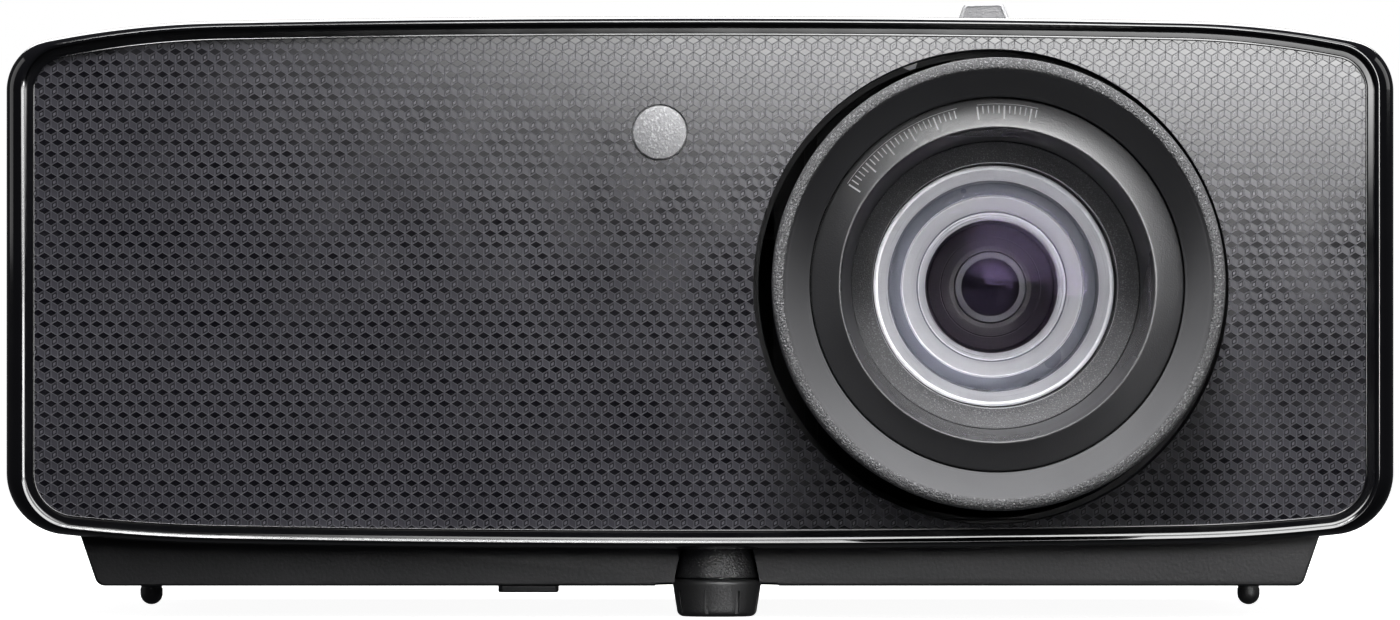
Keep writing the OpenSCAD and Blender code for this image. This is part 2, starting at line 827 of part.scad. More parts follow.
module dmd_board() {
    color([0.05, 0.2, 0.1]) {
        box(lens_x - 36, lens_x + 36, engine_back, engine_back + board_t, lens_z - 34, lens_z + 36);
        box(
            lens_x - dmd_half_x, lens_x + dmd_half_x, engine_back - 3, engine_back,
            lens_z - dmd_half_z, lens_z + dmd_half_z
        );
    }
}

module dmd_heatsink() {
    fin_count = 11;
    fin_pitch = 5;
    y0 = engine_back + board_t;
    color([0.7, 0.7, 0.72]) {
        box(lens_x - 27, lens_x + 27, y0, y0 + 4, lens_z - 24, lens_z + 24);
        for (i = [0:fin_count - 1]) {
            x = lens_x + (i - (fin_count - 1) / 2) * fin_pitch;
            box(x - 0.6, x + 0.6, y0 + 4, y0 + 26, lens_z - 24, lens_z + 24);
        }
    }
}

// Two glass wedges with a thin air gap between them
module prism() {
    half = 15;
    color([0.8, 0.85, 0.9, 0.5]) translate([lens_x, beam_y, lens_z - half]) linear_extrude(2 * half) {
        polygon([[-half, -half], [half, -half], [half, half - 0.5]]);
        polygon([[-half, -half + 0.5], [half - 0.5, half], [-half, half]]);
    }
}

module light_tunnel() {
    inner = tunnel_half - 1.5;
    color([0.7, 0.7, 0.72]) difference() {
        box(
            26, lens_x - engine_half, beam_y - tunnel_half, beam_y + tunnel_half,
            beam_z - tunnel_half, beam_z + tunnel_half
        );
        box(25, lens_x - engine_half + 1, beam_y - inner, beam_y + inner, beam_z - inner, beam_z + inner);
    }
}

// A disc and its hub on an axis along X. The hub reaches from the disc at x to hub_x
module wheel(x, hub_x, z) {
    difference() {
        union() {
            cyl_x(wheel_r, x, x + 1.2, beam_y, z);
            cyl_x(9, min(x, hub_x), max(x + 1.2, hub_x), beam_y, z);
        }
        cyl_x(spindle_r + fit, -50, 50, beam_y, z);
    }
}

module phosphor_wheel() {
    color([0.85, 0.75, 0.3]) wheel(-3, -6.5, phosphor_z);
}

module color_wheel() {
    color([0.5, 0.6, 0.8, 0.6]) wheel(13, 17, color_z);
}

module wheel_motors() {
    bracket_h = phosphor_z - tray_z - wall - gap;
    color([0.25, 0.25, 0.27]) {
        cyl_x(11, -22, -8, beam_y, phosphor_z);
        cyl_x(spindle_r, -8, -2, beam_y, phosphor_z);
        translate([-24, beam_y - 12, tray_z + wall + gap]) cube([2.5, 24, bracket_h]);
        cyl_x(11, 19, 31, beam_y, color_z);
        cyl_x(spindle_r, 14, 19, beam_y, color_z);
        box(30, lens_x - engine_half, beam_y - 9, beam_y + 9, color_z - 6, color_z + 6);
    }
}

module laser_module() {
    lens_rows = 4;
    lens_pitch = 12;
    color([0.2, 0.2, 0.22]) {
        difference() {
            box(laser_x, -38, beam_y - 36, beam_y + 36, 64, 130);
            for (y = pipe_ys) {
                cyl_x(pipe_r + fit, laser_x - 1, -60, y, beam_z);
            }
        }
        for (i = [0:lens_rows - 1], j = [0:lens_rows - 1]) {
            offset_y = (i - (lens_rows - 1) / 2) * lens_pitch;
            offset_z = (j - (lens_rows - 1) / 2) * lens_pitch;
            cyl_x(4.2, -38, -34, beam_y + offset_y, 97 + offset_z);
        }
    }
}

module laser_heatsink() {
    fin_x = -160;
    base_x = laser_x - 6;
    y1 = fin_y0 + (fin_count - 1) * fin_pitch + 1.6;
    color([0.72, 0.72, 0.74]) {
        difference() {
            box(base_x, laser_x, fin_y0, y1, 64, 142);
            for (y = pipe_ys) {
                cyl_x(pipe_r + fit, base_x - 1, laser_x + 1, y, beam_z);
            }
        }
        for (i = [0:fin_count - 1]) {
            y = fin_y0 + i * fin_pitch;
            box(fin_x, base_x, y - 0.6, y + 0.6, 68, 140);
        }
        for (y = [fin_y0, y1 - 12]) {
            box(base_x, laser_x, y, y + 12, tray_z + wall + gap, 64);
        }
    }
    color([0.75, 0.45, 0.3]) for (y = pipe_ys) {
        cyl_x(pipe_r, -156, -61, y, beam_z);
    }
}

// ---- Cooling ----

module fan_frame(y) {
    half = fan_size / 2;
    difference() {
        box(fan_x, fan_x + fan_depth, y - half, y + half, vent_z - half, vent_z + half);
        cyl_x(half - 1.6, fan_x - 1, fan_x + fan_depth + 1, y, vent_z);
    }
    cyl_x(13, fan_x, fan_x + 3, y, vent_z);
    cyl_x(spindle_r, fan_x + 3, fan_x + 14, y, vent_z);
    for (a = [0, 120, 240]) {
        translate([fan_x, y, vent_z]) rotate([a, 0, 0]) translate([0, -1.5, 12]) cube([2.4, 3, half - 13]);
    }
}

module fan_frames() {
    color([0.06, 0.06, 0.065]) for (y = fan_ys) {
        fan_frame(y);
    }
}

module fan_rotor(y) {
    blade_count = 7;
    blade_r = fan_size / 2 - 2.4;
    x0 = fan_x + 4;
    color([0.1, 0.1, 0.11]) difference() {
        union() {
            cyl_x(14, x0, x0 + 15, y, vent_z);
            for (i = [0:blade_count - 1]) {
                translate([x0 + 7.5, y, vent_z]) rotate([i * 360 / blade_count, 0, 0])
                    translate([0, 0, 12]) rotate([0, 0, 38])
                    translate([-0.7, -8.5, 0]) cube([1.4, 17, blade_r - 13.6]);
            }
        }
        cyl_x(spindle_r + fit, x0 - 1, x0 + 11, y, vent_z);
    }
}

module front_rotor() { fan_rotor(fan_ys[0]); }
module rear_rotor() { fan_rotor(fan_ys[1]); }

// ---- Electronics ----

module main_board() {
    top = main_board_z + board_t;
    color([0.04, 0.22, 0.1]) {
        box(-128, 168, 92, 158, main_board_z, top);
        box(-100, -64, 100, 134, top, top + 2.4);
        box(-40, -4, 100, 130, top, top + 10);
        for (x = [14:14:70]) {
            box(x, x + 10, 104, 118, top, top + 1.2);
        }
        for (x = [84:12:132]) {
            translate([x, 106, top]) cylinder(r = 4, h = 9);
        }
    }
}

// A closed speaker box with its driver behind the intake grille
module speaker() {
    x1 = body_w / 2 - 9;
    cone_y = 90;
    cone_z = 100;
    color([0.06, 0.06, 0.065]) {
        difference() {
            box(x1 - 30, x1, cone_y - 35, cone_y + 35, cone_z - 33, cone_z + 33);
            translate([x1 - 10, cone_y, cone_z]) rotate([0, 90, 0]) cylinder(r1 = 8, r2 = 27, h = 10.1);
        }
        cyl_x(8.5, x1 - 12, x1 - 7, cone_y, cone_z);
    }
}

module power_board() {
    top = power_board_z + board_t;
    color([0.35, 0.3, 0.12]) {
        box(-184, -26, -104, -68, power_board_z, top);
        box(-170, -136, -100, -74, top, top + 26);
        box(-122, -96, -100, -74, top, top + 20);
        for (x = [-80, -58, -38]) {
            translate([x, -86, top]) cylinder(r = 8.5, h = 28);
        }
    }
}

// A connector shell open at the back, with a contact tongue unless tongue is 0
module socket(p, depth, rim, tongue) {
    difference() {
        port_block(p, port_y - depth, port_y, 0);
        port_block(p, port_y - depth + rim, port_y + 1, -rim);
    }
    if (tongue > 0) {
        z = port_z + p[2] / 2;
        half_w = p[1] / 2 - 2;
        box(p[0] - half_w, p[0] + half_w, port_y - depth, port_y - 2, z - tongue / 2, z + tongue / 2);
    }
}

module port_sockets() {
    pin_pitch = 2.76;
    color([0.7, 0.7, 0.72]) {
        socket(lan_port, 16, 1.8, 0);
        for (p = hdmi_ports) {
            socket(p, 12, 0.6, 1.6);
        }
        socket(usb_port, 14, 0.6, 2);
        socket(serial_port, 12, 1, 0);
        for (i = [-2:2]) {
            cyl_y(0.5, port_y - 11.5, port_y - 3, serial_port[0] + i * pin_pitch, port_z + 6.4);
        }
        for (i = [-1.5:1.5]) {
            cyl_y(0.5, port_y - 11.5, port_y - 3, serial_port[0] + i * pin_pitch, port_z + 3.6);
        }
        for (x = jack_xs) {
            difference() {
                cyl_y(jack_r, port_y - 12, port_y, x, port_z + jack_r);
                cyl_y(1.8, port_y - 11, port_y + 1, x, port_z + jack_r);
            }
        }
    }
}

module power_inlet() {
    cavity_w = 24.4;
    cavity_h = 17.2;
    color([0.04, 0.04, 0.045]) {
        difference() {
            union() {
                inlet_block(rear_panel_y - 24, port_y, 0);
                inlet_block(port_y - 0.6 - wall - 1.4, rear_panel_y - wall - gap, 2);
            }
            translate([inlet_x, port_y - 8, inlet_z]) cube([cavity_w, 18, cavity_h], center = true);
        }
        for (p = [[-7, -2], [7, -2], [0, 2]]) {
            translate([inlet_x + p[0] - 1, port_y - 17.5, inlet_z + p[1] - 2]) cube([2, 15, 4]);
        }
    }
}

bottom_case();
top_cover();
front_bezel();
front_panel();
lens_bay_liner();
ir_window();
rear_panel();
exhaust_grille();
intake_grille();
keypad_plate();
keypad_board();
power_button();
source_button();
menu_button();
enter_button();
up_button();
down_button();
left_button();
right_button();
status_lights();
case_screws();
ceiling_inserts();
standoffs();
foot_collar();
foot_screw();
foot_knob();
rear_foot_left();
rear_foot_right();
lens_mount();
shift_plate_h();
shift_plate_v();
shift_dial_h();
shift_dial_v();
lens_barrel();
focus_ring();
lens_face_ring();
glass_retainer();
front_lens();
inner_cell();
inner_lens();
zoom_ring();
zoom_lever();
engine_housing();
dmd_board();
dmd_heatsink();
prism();
light_tunnel();
phosphor_wheel();
color_wheel();
wheel_motors();
laser_module();
laser_heatsink();
fan_frames();
front_rotor();
rear_rotor();
main_board();
power_board();
port_sockets();
power_inlet();
speaker();
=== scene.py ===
import math
from contextlib import contextmanager

import bmesh
import bpy
from mathutils import Matrix, Vector

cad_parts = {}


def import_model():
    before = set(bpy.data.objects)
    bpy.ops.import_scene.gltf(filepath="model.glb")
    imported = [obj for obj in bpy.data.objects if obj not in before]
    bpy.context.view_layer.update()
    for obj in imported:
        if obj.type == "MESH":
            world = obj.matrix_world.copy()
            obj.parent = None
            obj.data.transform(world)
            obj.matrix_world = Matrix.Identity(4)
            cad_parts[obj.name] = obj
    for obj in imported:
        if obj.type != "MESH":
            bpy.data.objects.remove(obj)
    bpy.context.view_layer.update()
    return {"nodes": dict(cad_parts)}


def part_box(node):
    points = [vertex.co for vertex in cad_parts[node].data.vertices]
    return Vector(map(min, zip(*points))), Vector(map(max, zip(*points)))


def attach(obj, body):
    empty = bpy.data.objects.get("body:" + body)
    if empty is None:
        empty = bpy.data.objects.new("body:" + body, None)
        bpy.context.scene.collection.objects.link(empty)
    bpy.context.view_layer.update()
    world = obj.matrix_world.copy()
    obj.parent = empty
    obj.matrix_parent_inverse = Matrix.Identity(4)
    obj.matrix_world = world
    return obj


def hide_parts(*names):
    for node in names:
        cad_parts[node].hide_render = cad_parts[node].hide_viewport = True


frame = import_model()
cad = frame["nodes"]
MM = 0.001


# ---- Dimensions, in millimetres, from the CAD nodes ----

def cad_box(node):
    """Lowest and highest corner of a CAD node in millimetres."""
    low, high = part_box(node)
    return Vector(low) / MM, Vector(high) / MM


def middle(low, high):
    """Middle of a box across x and along z."""
    return (low.x + high.x) / 2, (low.z + high.z) / 2


BEZEL_LOW = cad_box("front_bezel")[0]
COVER_LOW, COVER_HIGH = cad_box("top_cover")
PANEL_LOW, PANEL_HIGH = cad_box("front_panel")
RING_LOW, RING_HIGH = cad_box("focus_ring")
LINER_LOW, LINER_HIGH = cad_box("lens_bay_liner")
IR_LOW, IR_HIGH = cad_box("ir_window")
FOOT_LOW, FOOT_HIGH = cad_box("foot_knob")
REAR_BACK = cad_box("rear_panel")[1].y

HALF_W = COVER_HIGH.x
MID_Z = (COVER_HIGH.z + BEZEL_LOW.z) / 2
HALF_H = (COVER_HIGH.z - BEZEL_LOW.z) / 2
RIDGE_Y = BEZEL_LOW.y
SHELL_Y, SEAM_Z = COVER_LOW.y, COVER_LOW.z
BACK_Y = COVER_HIGH.y
PANEL_Y, PANEL_BACK = PANEL_LOW.y, PANEL_HIGH.y
WALL = 2.5
SEAM_HALF = 0.12
BAY_X, BAY_Z = middle(LINER_LOW, LINER_HIGH)
BAY_R = (LINER_HIGH.z - LINER_LOW.z) / 2 - 1
LENS_X, LENS_Z = middle(RING_LOW, RING_HIGH)
LENS_R = (RING_HIGH.z - RING_LOW.z) / 2
RIM_Y = RING_LOW.y
IR_X, IR_Z = middle(IR_LOW, IR_HIGH)
IR_HOLE_R = 8.25
FOOT_X = (FOOT_LOW.x + FOOT_HIGH.x) / 2
FOOT_Y = (FOOT_LOW.y + FOOT_HIGH.y) / 2


# ---- Meshes ----

def add_object(name, mesh):
    obj = bpy.data.objects.new(name, mesh)
    bpy.context.scene.collection.objects.link(obj)
    return obj


def to_object(name, mesh, materials, body, replaced):
    obj = add_object(name, mesh)
    for m in materials:
        mesh.materials.append(m)
    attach(obj, body)
    if replaced:
        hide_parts(*replaced)


def smooth_by_angle(mesh, degrees=32):
    mesh.shade_smooth()
    mesh.set_sharp_from_angle(angle=math.radians(degrees))


def raw_mesh(name, verts, faces, marks=None):
    """A mesh from vertices in millimetres. marks gives each face's material index."""
    mesh = bpy.data.meshes.new(name)
    mesh.from_pydata([(x * MM, y * MM, z * MM) for x, y, z in verts], [], faces)
    if marks:
        mesh.polygons.foreach_set("material_index", marks)
    mesh.update()
    return mesh


@contextmanager
def editing(mesh):
    bm = bmesh.new()
    bm.from_mesh(mesh)
    yield bm
    bm.to_mesh(mesh)
    bm.free()


def fix_normals(mesh):
    with editing(mesh) as bm:
        bmesh.ops.recalc_face_normals(bm, faces=bm.faces)


def from_lists(name, verts, faces, marks=None, sharp=32):
    mesh = raw_mesh(name, verts, faces, marks)
    smooth_by_angle(mesh, sharp)
    fix_normals(mesh)
    return mesh


def polar(cx, cy, r, degrees):
    """The point at a radius and an angle in degrees from a centre."""
    a = math.radians(degrees)
    return cx + r * math.cos(a), cy + r * math.sin(a)


def bridged(loops, closed_across=False):
    """Faces between consecutive closed loops of equal length."""
    n = len(loops[0])
    rows = len(loops)
    faces = []
    for row in range(rows if closed_across else rows - 1):
        a, b = row * n, ((row + 1) % rows) * n
        faces += [(a + i, a + (i + 1) % n, b + (i + 1) % n, b + i) for i in range(n)]
    return [p for loop in loops for p in loop], faces


def end_caps(n, total):
    """Faces that close the first and the last loop of n vertices."""
    return [tuple(range(n)), tuple(range(total - n, total))[::-1]]


def revolved(name, profile, segments, place, marks=None, sharp=32):
    """A closed profile of (radius, height) turned about a line. place(radius, angle, height) gives
    a point in space, and marks gives each profile step's material index."""
    verts, faces, face_marks, rows = [], [], [], []
    for r, height in profile:
        count = 1 if r < 1e-6 else segments
        rows.append(range(len(verts), len(verts) + count))
        verts += [place(r, 2 * math.pi * i / segments, height) for i in range(count)]
    for k, a in enumerate(rows):
        b = rows[(k + 1) % len(rows)]
        if len(a) == len(b) == 1:
            continue
        for i in range(segments):
            j = (i + 1) % segments
            corners = (a[i % len(a)], a[j % len(a)], b[j % len(b)], b[i % len(b)])
            faces.append(tuple(dict.fromkeys(corners)))
            face_marks.append(marks[k] if marks else 0)
    return from_lists(name, verts, faces, face_marks, sharp)


def lathe(name, profile, materials, body, segments, replaced, marks=None, sharp=32, y=0,
          axis=None):
    """Turns a profile of (radius, depth behind y) about a line along Y, through the lens' middle
    or through axis = (x, z)."""
    cx, cz = axis or (LENS_X, LENS_Z)
    mesh = revolved(name, profile, segments, lambda r, a, depth: (
        cx + r * math.sin(a), y + depth, cz + r * math.cos(a)), marks, sharp)
    to_object(name, mesh, materials, body, replaced)


# ---- The shell's outline ----

CROWN_R, CROWN_RUN = 7000, 60
TOP_ARC_R, TOP_CORNER_RUN = 270, 12
LOW_ARC_R, LOW_CORNER_RUN = 500, 16


def arc_points(c, r, a0, a1, n):
    """Points along an arc after its first one, with angles in radians from straight up."""
    angles = [a0 + (a1 - a0) * i / n for i in range(1, n + 1)]
    return [(c[0] + r * math.sin(a), c[1] + r * math.cos(a)) for a in angles]


def quarter(w, arc_r, corner_run, inset):
    """A quarter of the outline, from the middle outwards: a crown, an arc and a corner."""
    c, run = (0, HALF_H - CROWN_R), CROWN_R - arc_r
    a1 = math.asin((w - CROWN_RUN) / CROWN_R)
    points = [(0, HALF_H - inset)] + arc_points(c, CROWN_R - inset, 0, a1, 24)
    c = (run * math.sin(a1), c[1] + run * math.cos(a1))
    a2 = math.asin((w - corner_run - c[0]) / arc_r)
    points += arc_points(c, arc_r - inset, a1, a2, 20)
    corner_r = corner_run / (1 - math.sin(a2))
    run = arc_r - corner_r
    c = (c[0] + run * math.sin(a2), c[1] + run * math.cos(a2))
    return points + arc_points(c, corner_r - inset, a2, math.pi / 2, 26)


def outline(side, inset):
    """The shell's outline seen from the front, narrowed by side and set in by inset."""
    w = HALF_W - side
    top = [(x, MID_Z + z) for x, z in quarter(w, TOP_ARC_R, TOP_CORNER_RUN, inset)]
    low = [(x, MID_Z - z) for x, z in quarter(w, LOW_ARC_R, LOW_CORNER_RUN, inset)]
    right = top + low[::-1]
    return right + [(-x, z) for x, z in right[1:-1][::-1]]


def outline_loop(side, inset, y):
    return [(x, y, z) for x, z in outline(side, inset)]


# ---- Materials ----

FLECK = (0.8, 0.8, 0.82, 1)


def feed(tree, node, inputs):
    """Sets a node's inputs: a socket is linked, anything else is a constant."""
    for key, value in inputs.items():
        if isinstance(value, bpy.types.NodeSocket):
            tree.links.new(value, node.inputs[key])
        else:
            node.inputs[key].default_value = value
    return node


def new_node(tree, kind, inputs):
    return feed(tree, tree.nodes.new(f"ShaderNode{kind}"), inputs)


def nodes_of(name):
    """A new material, its tree, its shader and the object coordinates."""
    m = bpy.data.materials.new(name)
    m.use_nodes = True
    tree = m.node_tree
    coords = tree.nodes.new("ShaderNodeTexCoord").outputs["Object"]
    return m, tree, tree.nodes["Principled BSDF"], coords


def noise(tree, coords, scale, detail=2.0, rough=0.5):
    inputs = {"Vector": coords, "Scale": scale, "Detail": detail, "Roughness": rough}
    return new_node(tree, "TexNoise", inputs).outputs["Fac"]


def ramp_between(tree, source, low, high, first, second):
    inputs = {"Value": source, "From Min": low, "From Max": high, "To Min": first, "To Max": second}
    return new_node(tree, "MapRange", inputs).outputs["Result"]


def mixed_color(tree, factor, first, second):
    mix = tree.nodes.new("ShaderNodeMix")
    mix.data_type = "RGBA"
    return feed(tree, mix, {"Factor": factor, "A": first, "B": second}).outputs["Result"]


def bumped(tree, height, strength, distance):
    inputs = {"Height": height, "Strength": strength, "Distance": distance}
    return new_node(tree, "Bump", inputs).outputs["Normal"]


def shade(color, k):
    return (*(max(0.0, min(1.0, c * k)) for c in color), 1)


def mottled(tree, factor, color, vary):
    return mixed_color(tree, factor, shade(color, 1 - vary), shade(color, 1 + vary))


def plastic(name, color, rough, grain, bump, vary=0.12, rough_vary=0.06, metallic=0.0,
            specular=0.5, fleck=0.0, fleck_scale=2500.0, distance=0.0002):
    """Moulded or painted finish: fine grain in the bump, slow mottling in colour and roughness."""
    m, tree, bsdf, coords = nodes_of(name)
    slow = noise(tree, coords, 22.0, 3.0)
    fine = noise(tree, coords, grain, 2.5, 0.6)
    base = mottled(tree, ramp_between(tree, slow, 0.3, 0.7, 0, 1), color, vary)
    if fleck > 0:
        spots = noise(tree, coords, fleck_scale, 1.0, 0.4)
        base = mixed_color(tree, ramp_between(tree, spots, 0.56, 0.7, 0, fleck), base, FLECK)
    feed(tree, bsdf, {
        "Base Color": base, "Metallic": metallic, "Specular IOR Level": specular,
        "Roughness": ramp_between(tree, slow, 0.25, 0.75, rough - rough_vary, rough + rough_vary),
        "Normal": bumped(tree, fine, min(1.0, bump * 10), distance)})
    return m


def gloss(name, color, rough, specular=0.5):
    """Polished plastic: a deep colour with hairline haze in the roughness and a faint orange peel."""
    m, tree, bsdf, coords = nodes_of(name)
    haze = noise(tree, coords, 60.0, 4.0)
    feed(tree, bsdf, {
        "Base Color": mottled(tree, haze, color, 0.2), "Specular IOR Level": specular,
        "Roughness": ramp_between(tree, haze, 0.3, 0.7, rough * 0.7, rough * 1.4),
        "Normal": bumped(tree, noise(tree, coords, 350.0, 1.0), 0.05, 0.00002)})
    return m


def brushed(name, color, rough, scale=(40.0, 4000.0, 40.0), metallic=1.0):
    """Metal with turning or brushing marks drawn out along one direction."""
    m, tree, bsdf, coords = nodes_of(name)
    drawn = new_node(tree, "Mapping", {"Vector": coords, "Scale": scale}).outputs["Vector"]
    lines = noise(tree, drawn, 1.0, 3.0)
    feed(tree, bsdf, {
        "Base Color": mottled(tree, lines, color, 0.1), "Metallic": metallic,
        "Roughness": ramp_between(tree, lines, 0.3, 0.7, rough * 0.75, rough * 1.3),
        "Normal": bumped(tree, lines, 0.15, 0.00003)})
    return m


def coated_glass(name, tint, ior=1.5, mirror=(0.55, 0.4, 0.9), coat=0.6):
    """Lens glass with a faintly uneven coating. mirror is the colour that it reflects."""
    m, tree, bsdf, coords = nodes_of(name)
    slow = noise(tree, coords, 30.0, 2.0)
    feed(tree, bsdf, {
        "Base Color": mixed_color(tree, slow, shade(tint, 1), shade(tint, 0.96)),
        "Roughness": ramp_between(tree, slow, 0.3, 0.7, 0.0, 0.02), "IOR": ior,
        "Transmission Weight": 1.0, "Specular Tint": (*mirror, 1), "Coat Weight": coat,
        "Coat Roughness": 0.03, "Coat Tint": (0.9, 0.88, 1.0, 1)})
    return m


def board(name, color):
    """Circuit board: solder mask with fine copper tracks showing through."""
    m, tree, bsdf, coords = nodes_of(name)
    brick = new_node(tree, "TexBrick", {
        "Vector": coords, "Scale": 220.0, "Mortar Size": 0.03, "Color1": shade(color, 1),
        "Color2": shade(color, 0.8), "Mortar": shade(color, 2.2)})
    slow = noise(tree, coords, 120.0, 4.0)
    feed(tree, bsdf, {
        "Base Color": brick.outputs["Color"],
        "Roughness": ramp_between(tree, slow, 0.3, 0.7, 0.3, 0.5),
        "Normal": bumped(tree, slow, 0.3, 0.0001)})
    return m


PIANO = gloss("piano_black", (0.004, 0.004, 0.005), 0.07)
COVER = plastic("cover_satin", (0.014, 0.014, 0.016), 0.46, 1400, 0.04, vary=0.05, rough_vary=0.02,
                specular=0.35)
CASE = plastic("case_satin", (0.012, 0.012, 0.013), 0.42, 1100, 0.05)
BAY = plastic("bay_black", (0.003, 0.003, 0.0035), 0.55, 900, 0.03, specular=0.25)
FLAT = {"rough_vary": 0.02, "distance": 0.00001}
P_LINE = plastic("panel_line", (0.1, 0.098, 0.112), 0.16, 2500, 0.03, vary=0.1, **FLAT)
P_SATIN = plastic("panel_satin", (0.046, 0.045, 0.054), 0.13, 3200, 0.05, **FLAT)
P_SATIN_B = plastic("panel_satin_b", (0.04, 0.039, 0.047), 0.14, 3200, 0.05, **FLAT)
P_GLOSS = gloss("panel_gloss", (0.003, 0.0026, 0.005), 0.1, specular=0.55)
IR = plastic("ir_filter", (0.2, 0.2, 0.208), 0.5, 1500, 0.05, fleck=0.35, fleck_scale=1500,
             distance=0.0003)
RIM = plastic("rim_texture", (0.07, 0.07, 0.073), 0.42, 1900, 0.1, vary=0.1, distance=0.0008, fleck=0.3,
              fleck_scale=1700)
# Lighter grey band on the focus ring's outer edge: a painted highlight for the rim's bright edge line. Its
# gloss also reflects the lamps for real.
RIM_EDGE_HIGHLIGHT = plastic("rim_edge_painted_highlight", (0.22, 0.22, 0.23), 0.25, 3000, 0.01, specular=0.7)
FUNNEL = plastic("funnel_satin", (0.155, 0.155, 0.16), 0.42, 2600, 0.02, vary=0.1, specular=0.03)
FACE = plastic("face_satin", (0.022, 0.022, 0.024), 0.33, 2200, 0.03, vary=0.1)
WELL = plastic("well_satin", (0.1, 0.1, 0.104), 0.3, 2600, 0.01, vary=0.1)
RETAINER = plastic("retainer_texture", (0.16, 0.16, 0.166), 0.38, 2600, 0.1, distance=0.0006,
                   fleck=0.25, fleck_scale=2600, specular=0.1)
BARREL = plastic("barrel_black", (0.006, 0.006, 0.007), 0.5, 1200, 0.03)
METAL = brushed("cell_metal", (0.45, 0.45, 0.47), 0.36, metallic=0.35)
BRIGHT = brushed("bright_edge", (0.65, 0.65, 0.68), 0.3, metallic=0.6)
BLUED = plastic("blued_band", (0.09, 0.094, 0.115), 0.3, 1500, 0.02, specular=0.7)
DEEP = plastic("deep_cone", (0.008, 0.006, 0.009), 0.35, 1500, 0.02, specular=0.15)
GLASS = coated_glass("front_glass", (0.98, 0.98, 0.99), ior=1.3, coat=0.0, mirror=(0.09, 0.07, 0.13))
INNER_GLASS = coated_glass("inner_glass", (0.05, 0.043, 0.062), ior=1.6, coat=0.0,
                           mirror=(0.06, 0.045, 0.09))
INK = plastic("white_ink", (0.75, 0.75, 0.77), 0.5, 1500, 0.02, vary=0.05)
KNOB = plastic("knob_rubber", (0.02, 0.02, 0.021), 0.5, 1600, 0.06)
COLLAR = plastic("collar_texture", (0.05, 0.05, 0.053), 0.38, 1500, 0.1, distance=0.0005, fleck=0.05)
LEVER = plastic("lever_satin", (0.075, 0.075, 0.08), 0.36, 1800, 0.05)
LEVER_RIM = plastic("lever_rim", (0.35, 0.35, 0.36), 0.35, 1800, 0.02)
TRAY = plastic("tray_satin", (0.009, 0.009, 0.01), 0.42, 1000, 0.03, vary=0.1, specular=0.22)
GRIP = plastic("grip_rubber", (0.018, 0.018, 0.019), 0.55, 1500, 0.04)
INK_DIM = plastic("grey_ink", (0.6, 0.6, 0.62), 0.5, 1500, 0.02, vary=0.08)
FROSTED = plastic("frosted_edge", (0.05, 0.048, 0.056), 0.4, 2000, 0.04)
KEY = plastic("key_satin", (0.05, 0.05, 0.054), 0.42, 1800, 0.04)
PAD = gloss("pad_gloss", (0.01, 0.01, 0.012), 0.12)
BACK = plastic("back_spark", (0.028, 0.028, 0.03), 0.5, 1000, 0.08)
GRILLE = plastic("grille_spark", (0.02, 0.02, 0.022), 0.48, 1200, 0.06)
DIAL = plastic("dial_satin", (0.045, 0.045, 0.05), 0.4, 1500, 0.05)
PIPE_CLEAR = plastic("light_pipe", (0.6, 0.65, 0.7), 0.25, 900, 0.01, vary=0.05)
BLACK_ZINC = brushed("black_zinc", (0.1, 0.1, 0.105), 0.35)
BRASS = brushed("insert_brass", (0.75, 0.56, 0.26), 0.3)
STEEL = brushed("turned_steel", (0.62, 0.62, 0.64), 0.28, scale=(60.0, 60.0, 3000.0))
CAST = plastic("die_cast", (0.5, 0.5, 0.52), 0.45, 700, 0.12, metallic=0.9)
FINS = brushed("extruded_fins", (0.68, 0.68, 0.7), 0.4, scale=(50.0, 2500.0, 50.0))
TIN = brushed("tinned_steel", (0.66, 0.66, 0.68), 0.3, scale=(50.0, 1800.0, 50.0))
INLET = plastic("inlet_black", (0.018, 0.018, 0.02), 0.45, 1200, 0.04)
FAN = plastic("fan_black", (0.025, 0.025, 0.027), 0.45, 900, 0.04)
MOTOR = plastic("anodised_black", (0.05, 0.05, 0.055), 0.4, 1500, 0.04, metallic=0.6)
ANODISED = plastic("matt_anodised", (0.005, 0.005, 0.006), 0.55, 1800, 0.03, specular=0.2)
PHOSPHOR = plastic("phosphor_coat", (0.8, 0.68, 0.16), 0.6, 1200, 0.08)
DICHROIC = coated_glass("dichroic", (0.6, 0.7, 0.95), mirror=(0.9, 0.6, 0.9))
CLEAR = coated_glass("prism_glass", (0.95, 0.97, 1.0))
BOARD = board("solder_mask_green", (0.02, 0.12, 0.05))
BOARD_TAN = board("solder_mask_tan", (0.25, 0.17, 0.06))


# ---- Front panel: tumbling blocks in relief, clipped to the opening and its two holes ----

PANEL_SIDE, PANEL_INSET = 2.7, 4.1
CELL = 2.18
REACH = 3  # more than a cell's own radius
LINE_HALF = 0.085
ARC_STEP = 0.45
PLATE_DEPTH = 0.09
# The small frame's steps inwards: inset, how deep, and the material of the step.
FRAME_STEPS = ((0.19, 0, 2), (0.24, 0.05, 0), (0.47, 0.05, 3), (0.52, -0.02, 0))


def lerp(p, q, t):
    return tuple(a + (b - a) * t for a, b in zip(p, q))


def clip_convex(poly, edges):
    """Sutherland-Hodgman against half-planes (nx, nz, d), keeping nx*x + nz*z <= d."""
    for nx, nz, d in edges:
        out = []
        for i, p in enumerate(poly):
            q = poly[(i + 1) % len(poly)]
            dp = nx * p[0] + nz * p[2] - d
            dq = nx * q[0] + nz * q[2] - d
            if dp <= 0:
                out.append(p)
            if (dp < 0 < dq) or (dq < 0 < dp):
                out.append(lerp(p, q, dp / (dp - dq)))
        poly = out
        if len(poly) < 3:
            return []
    return poly


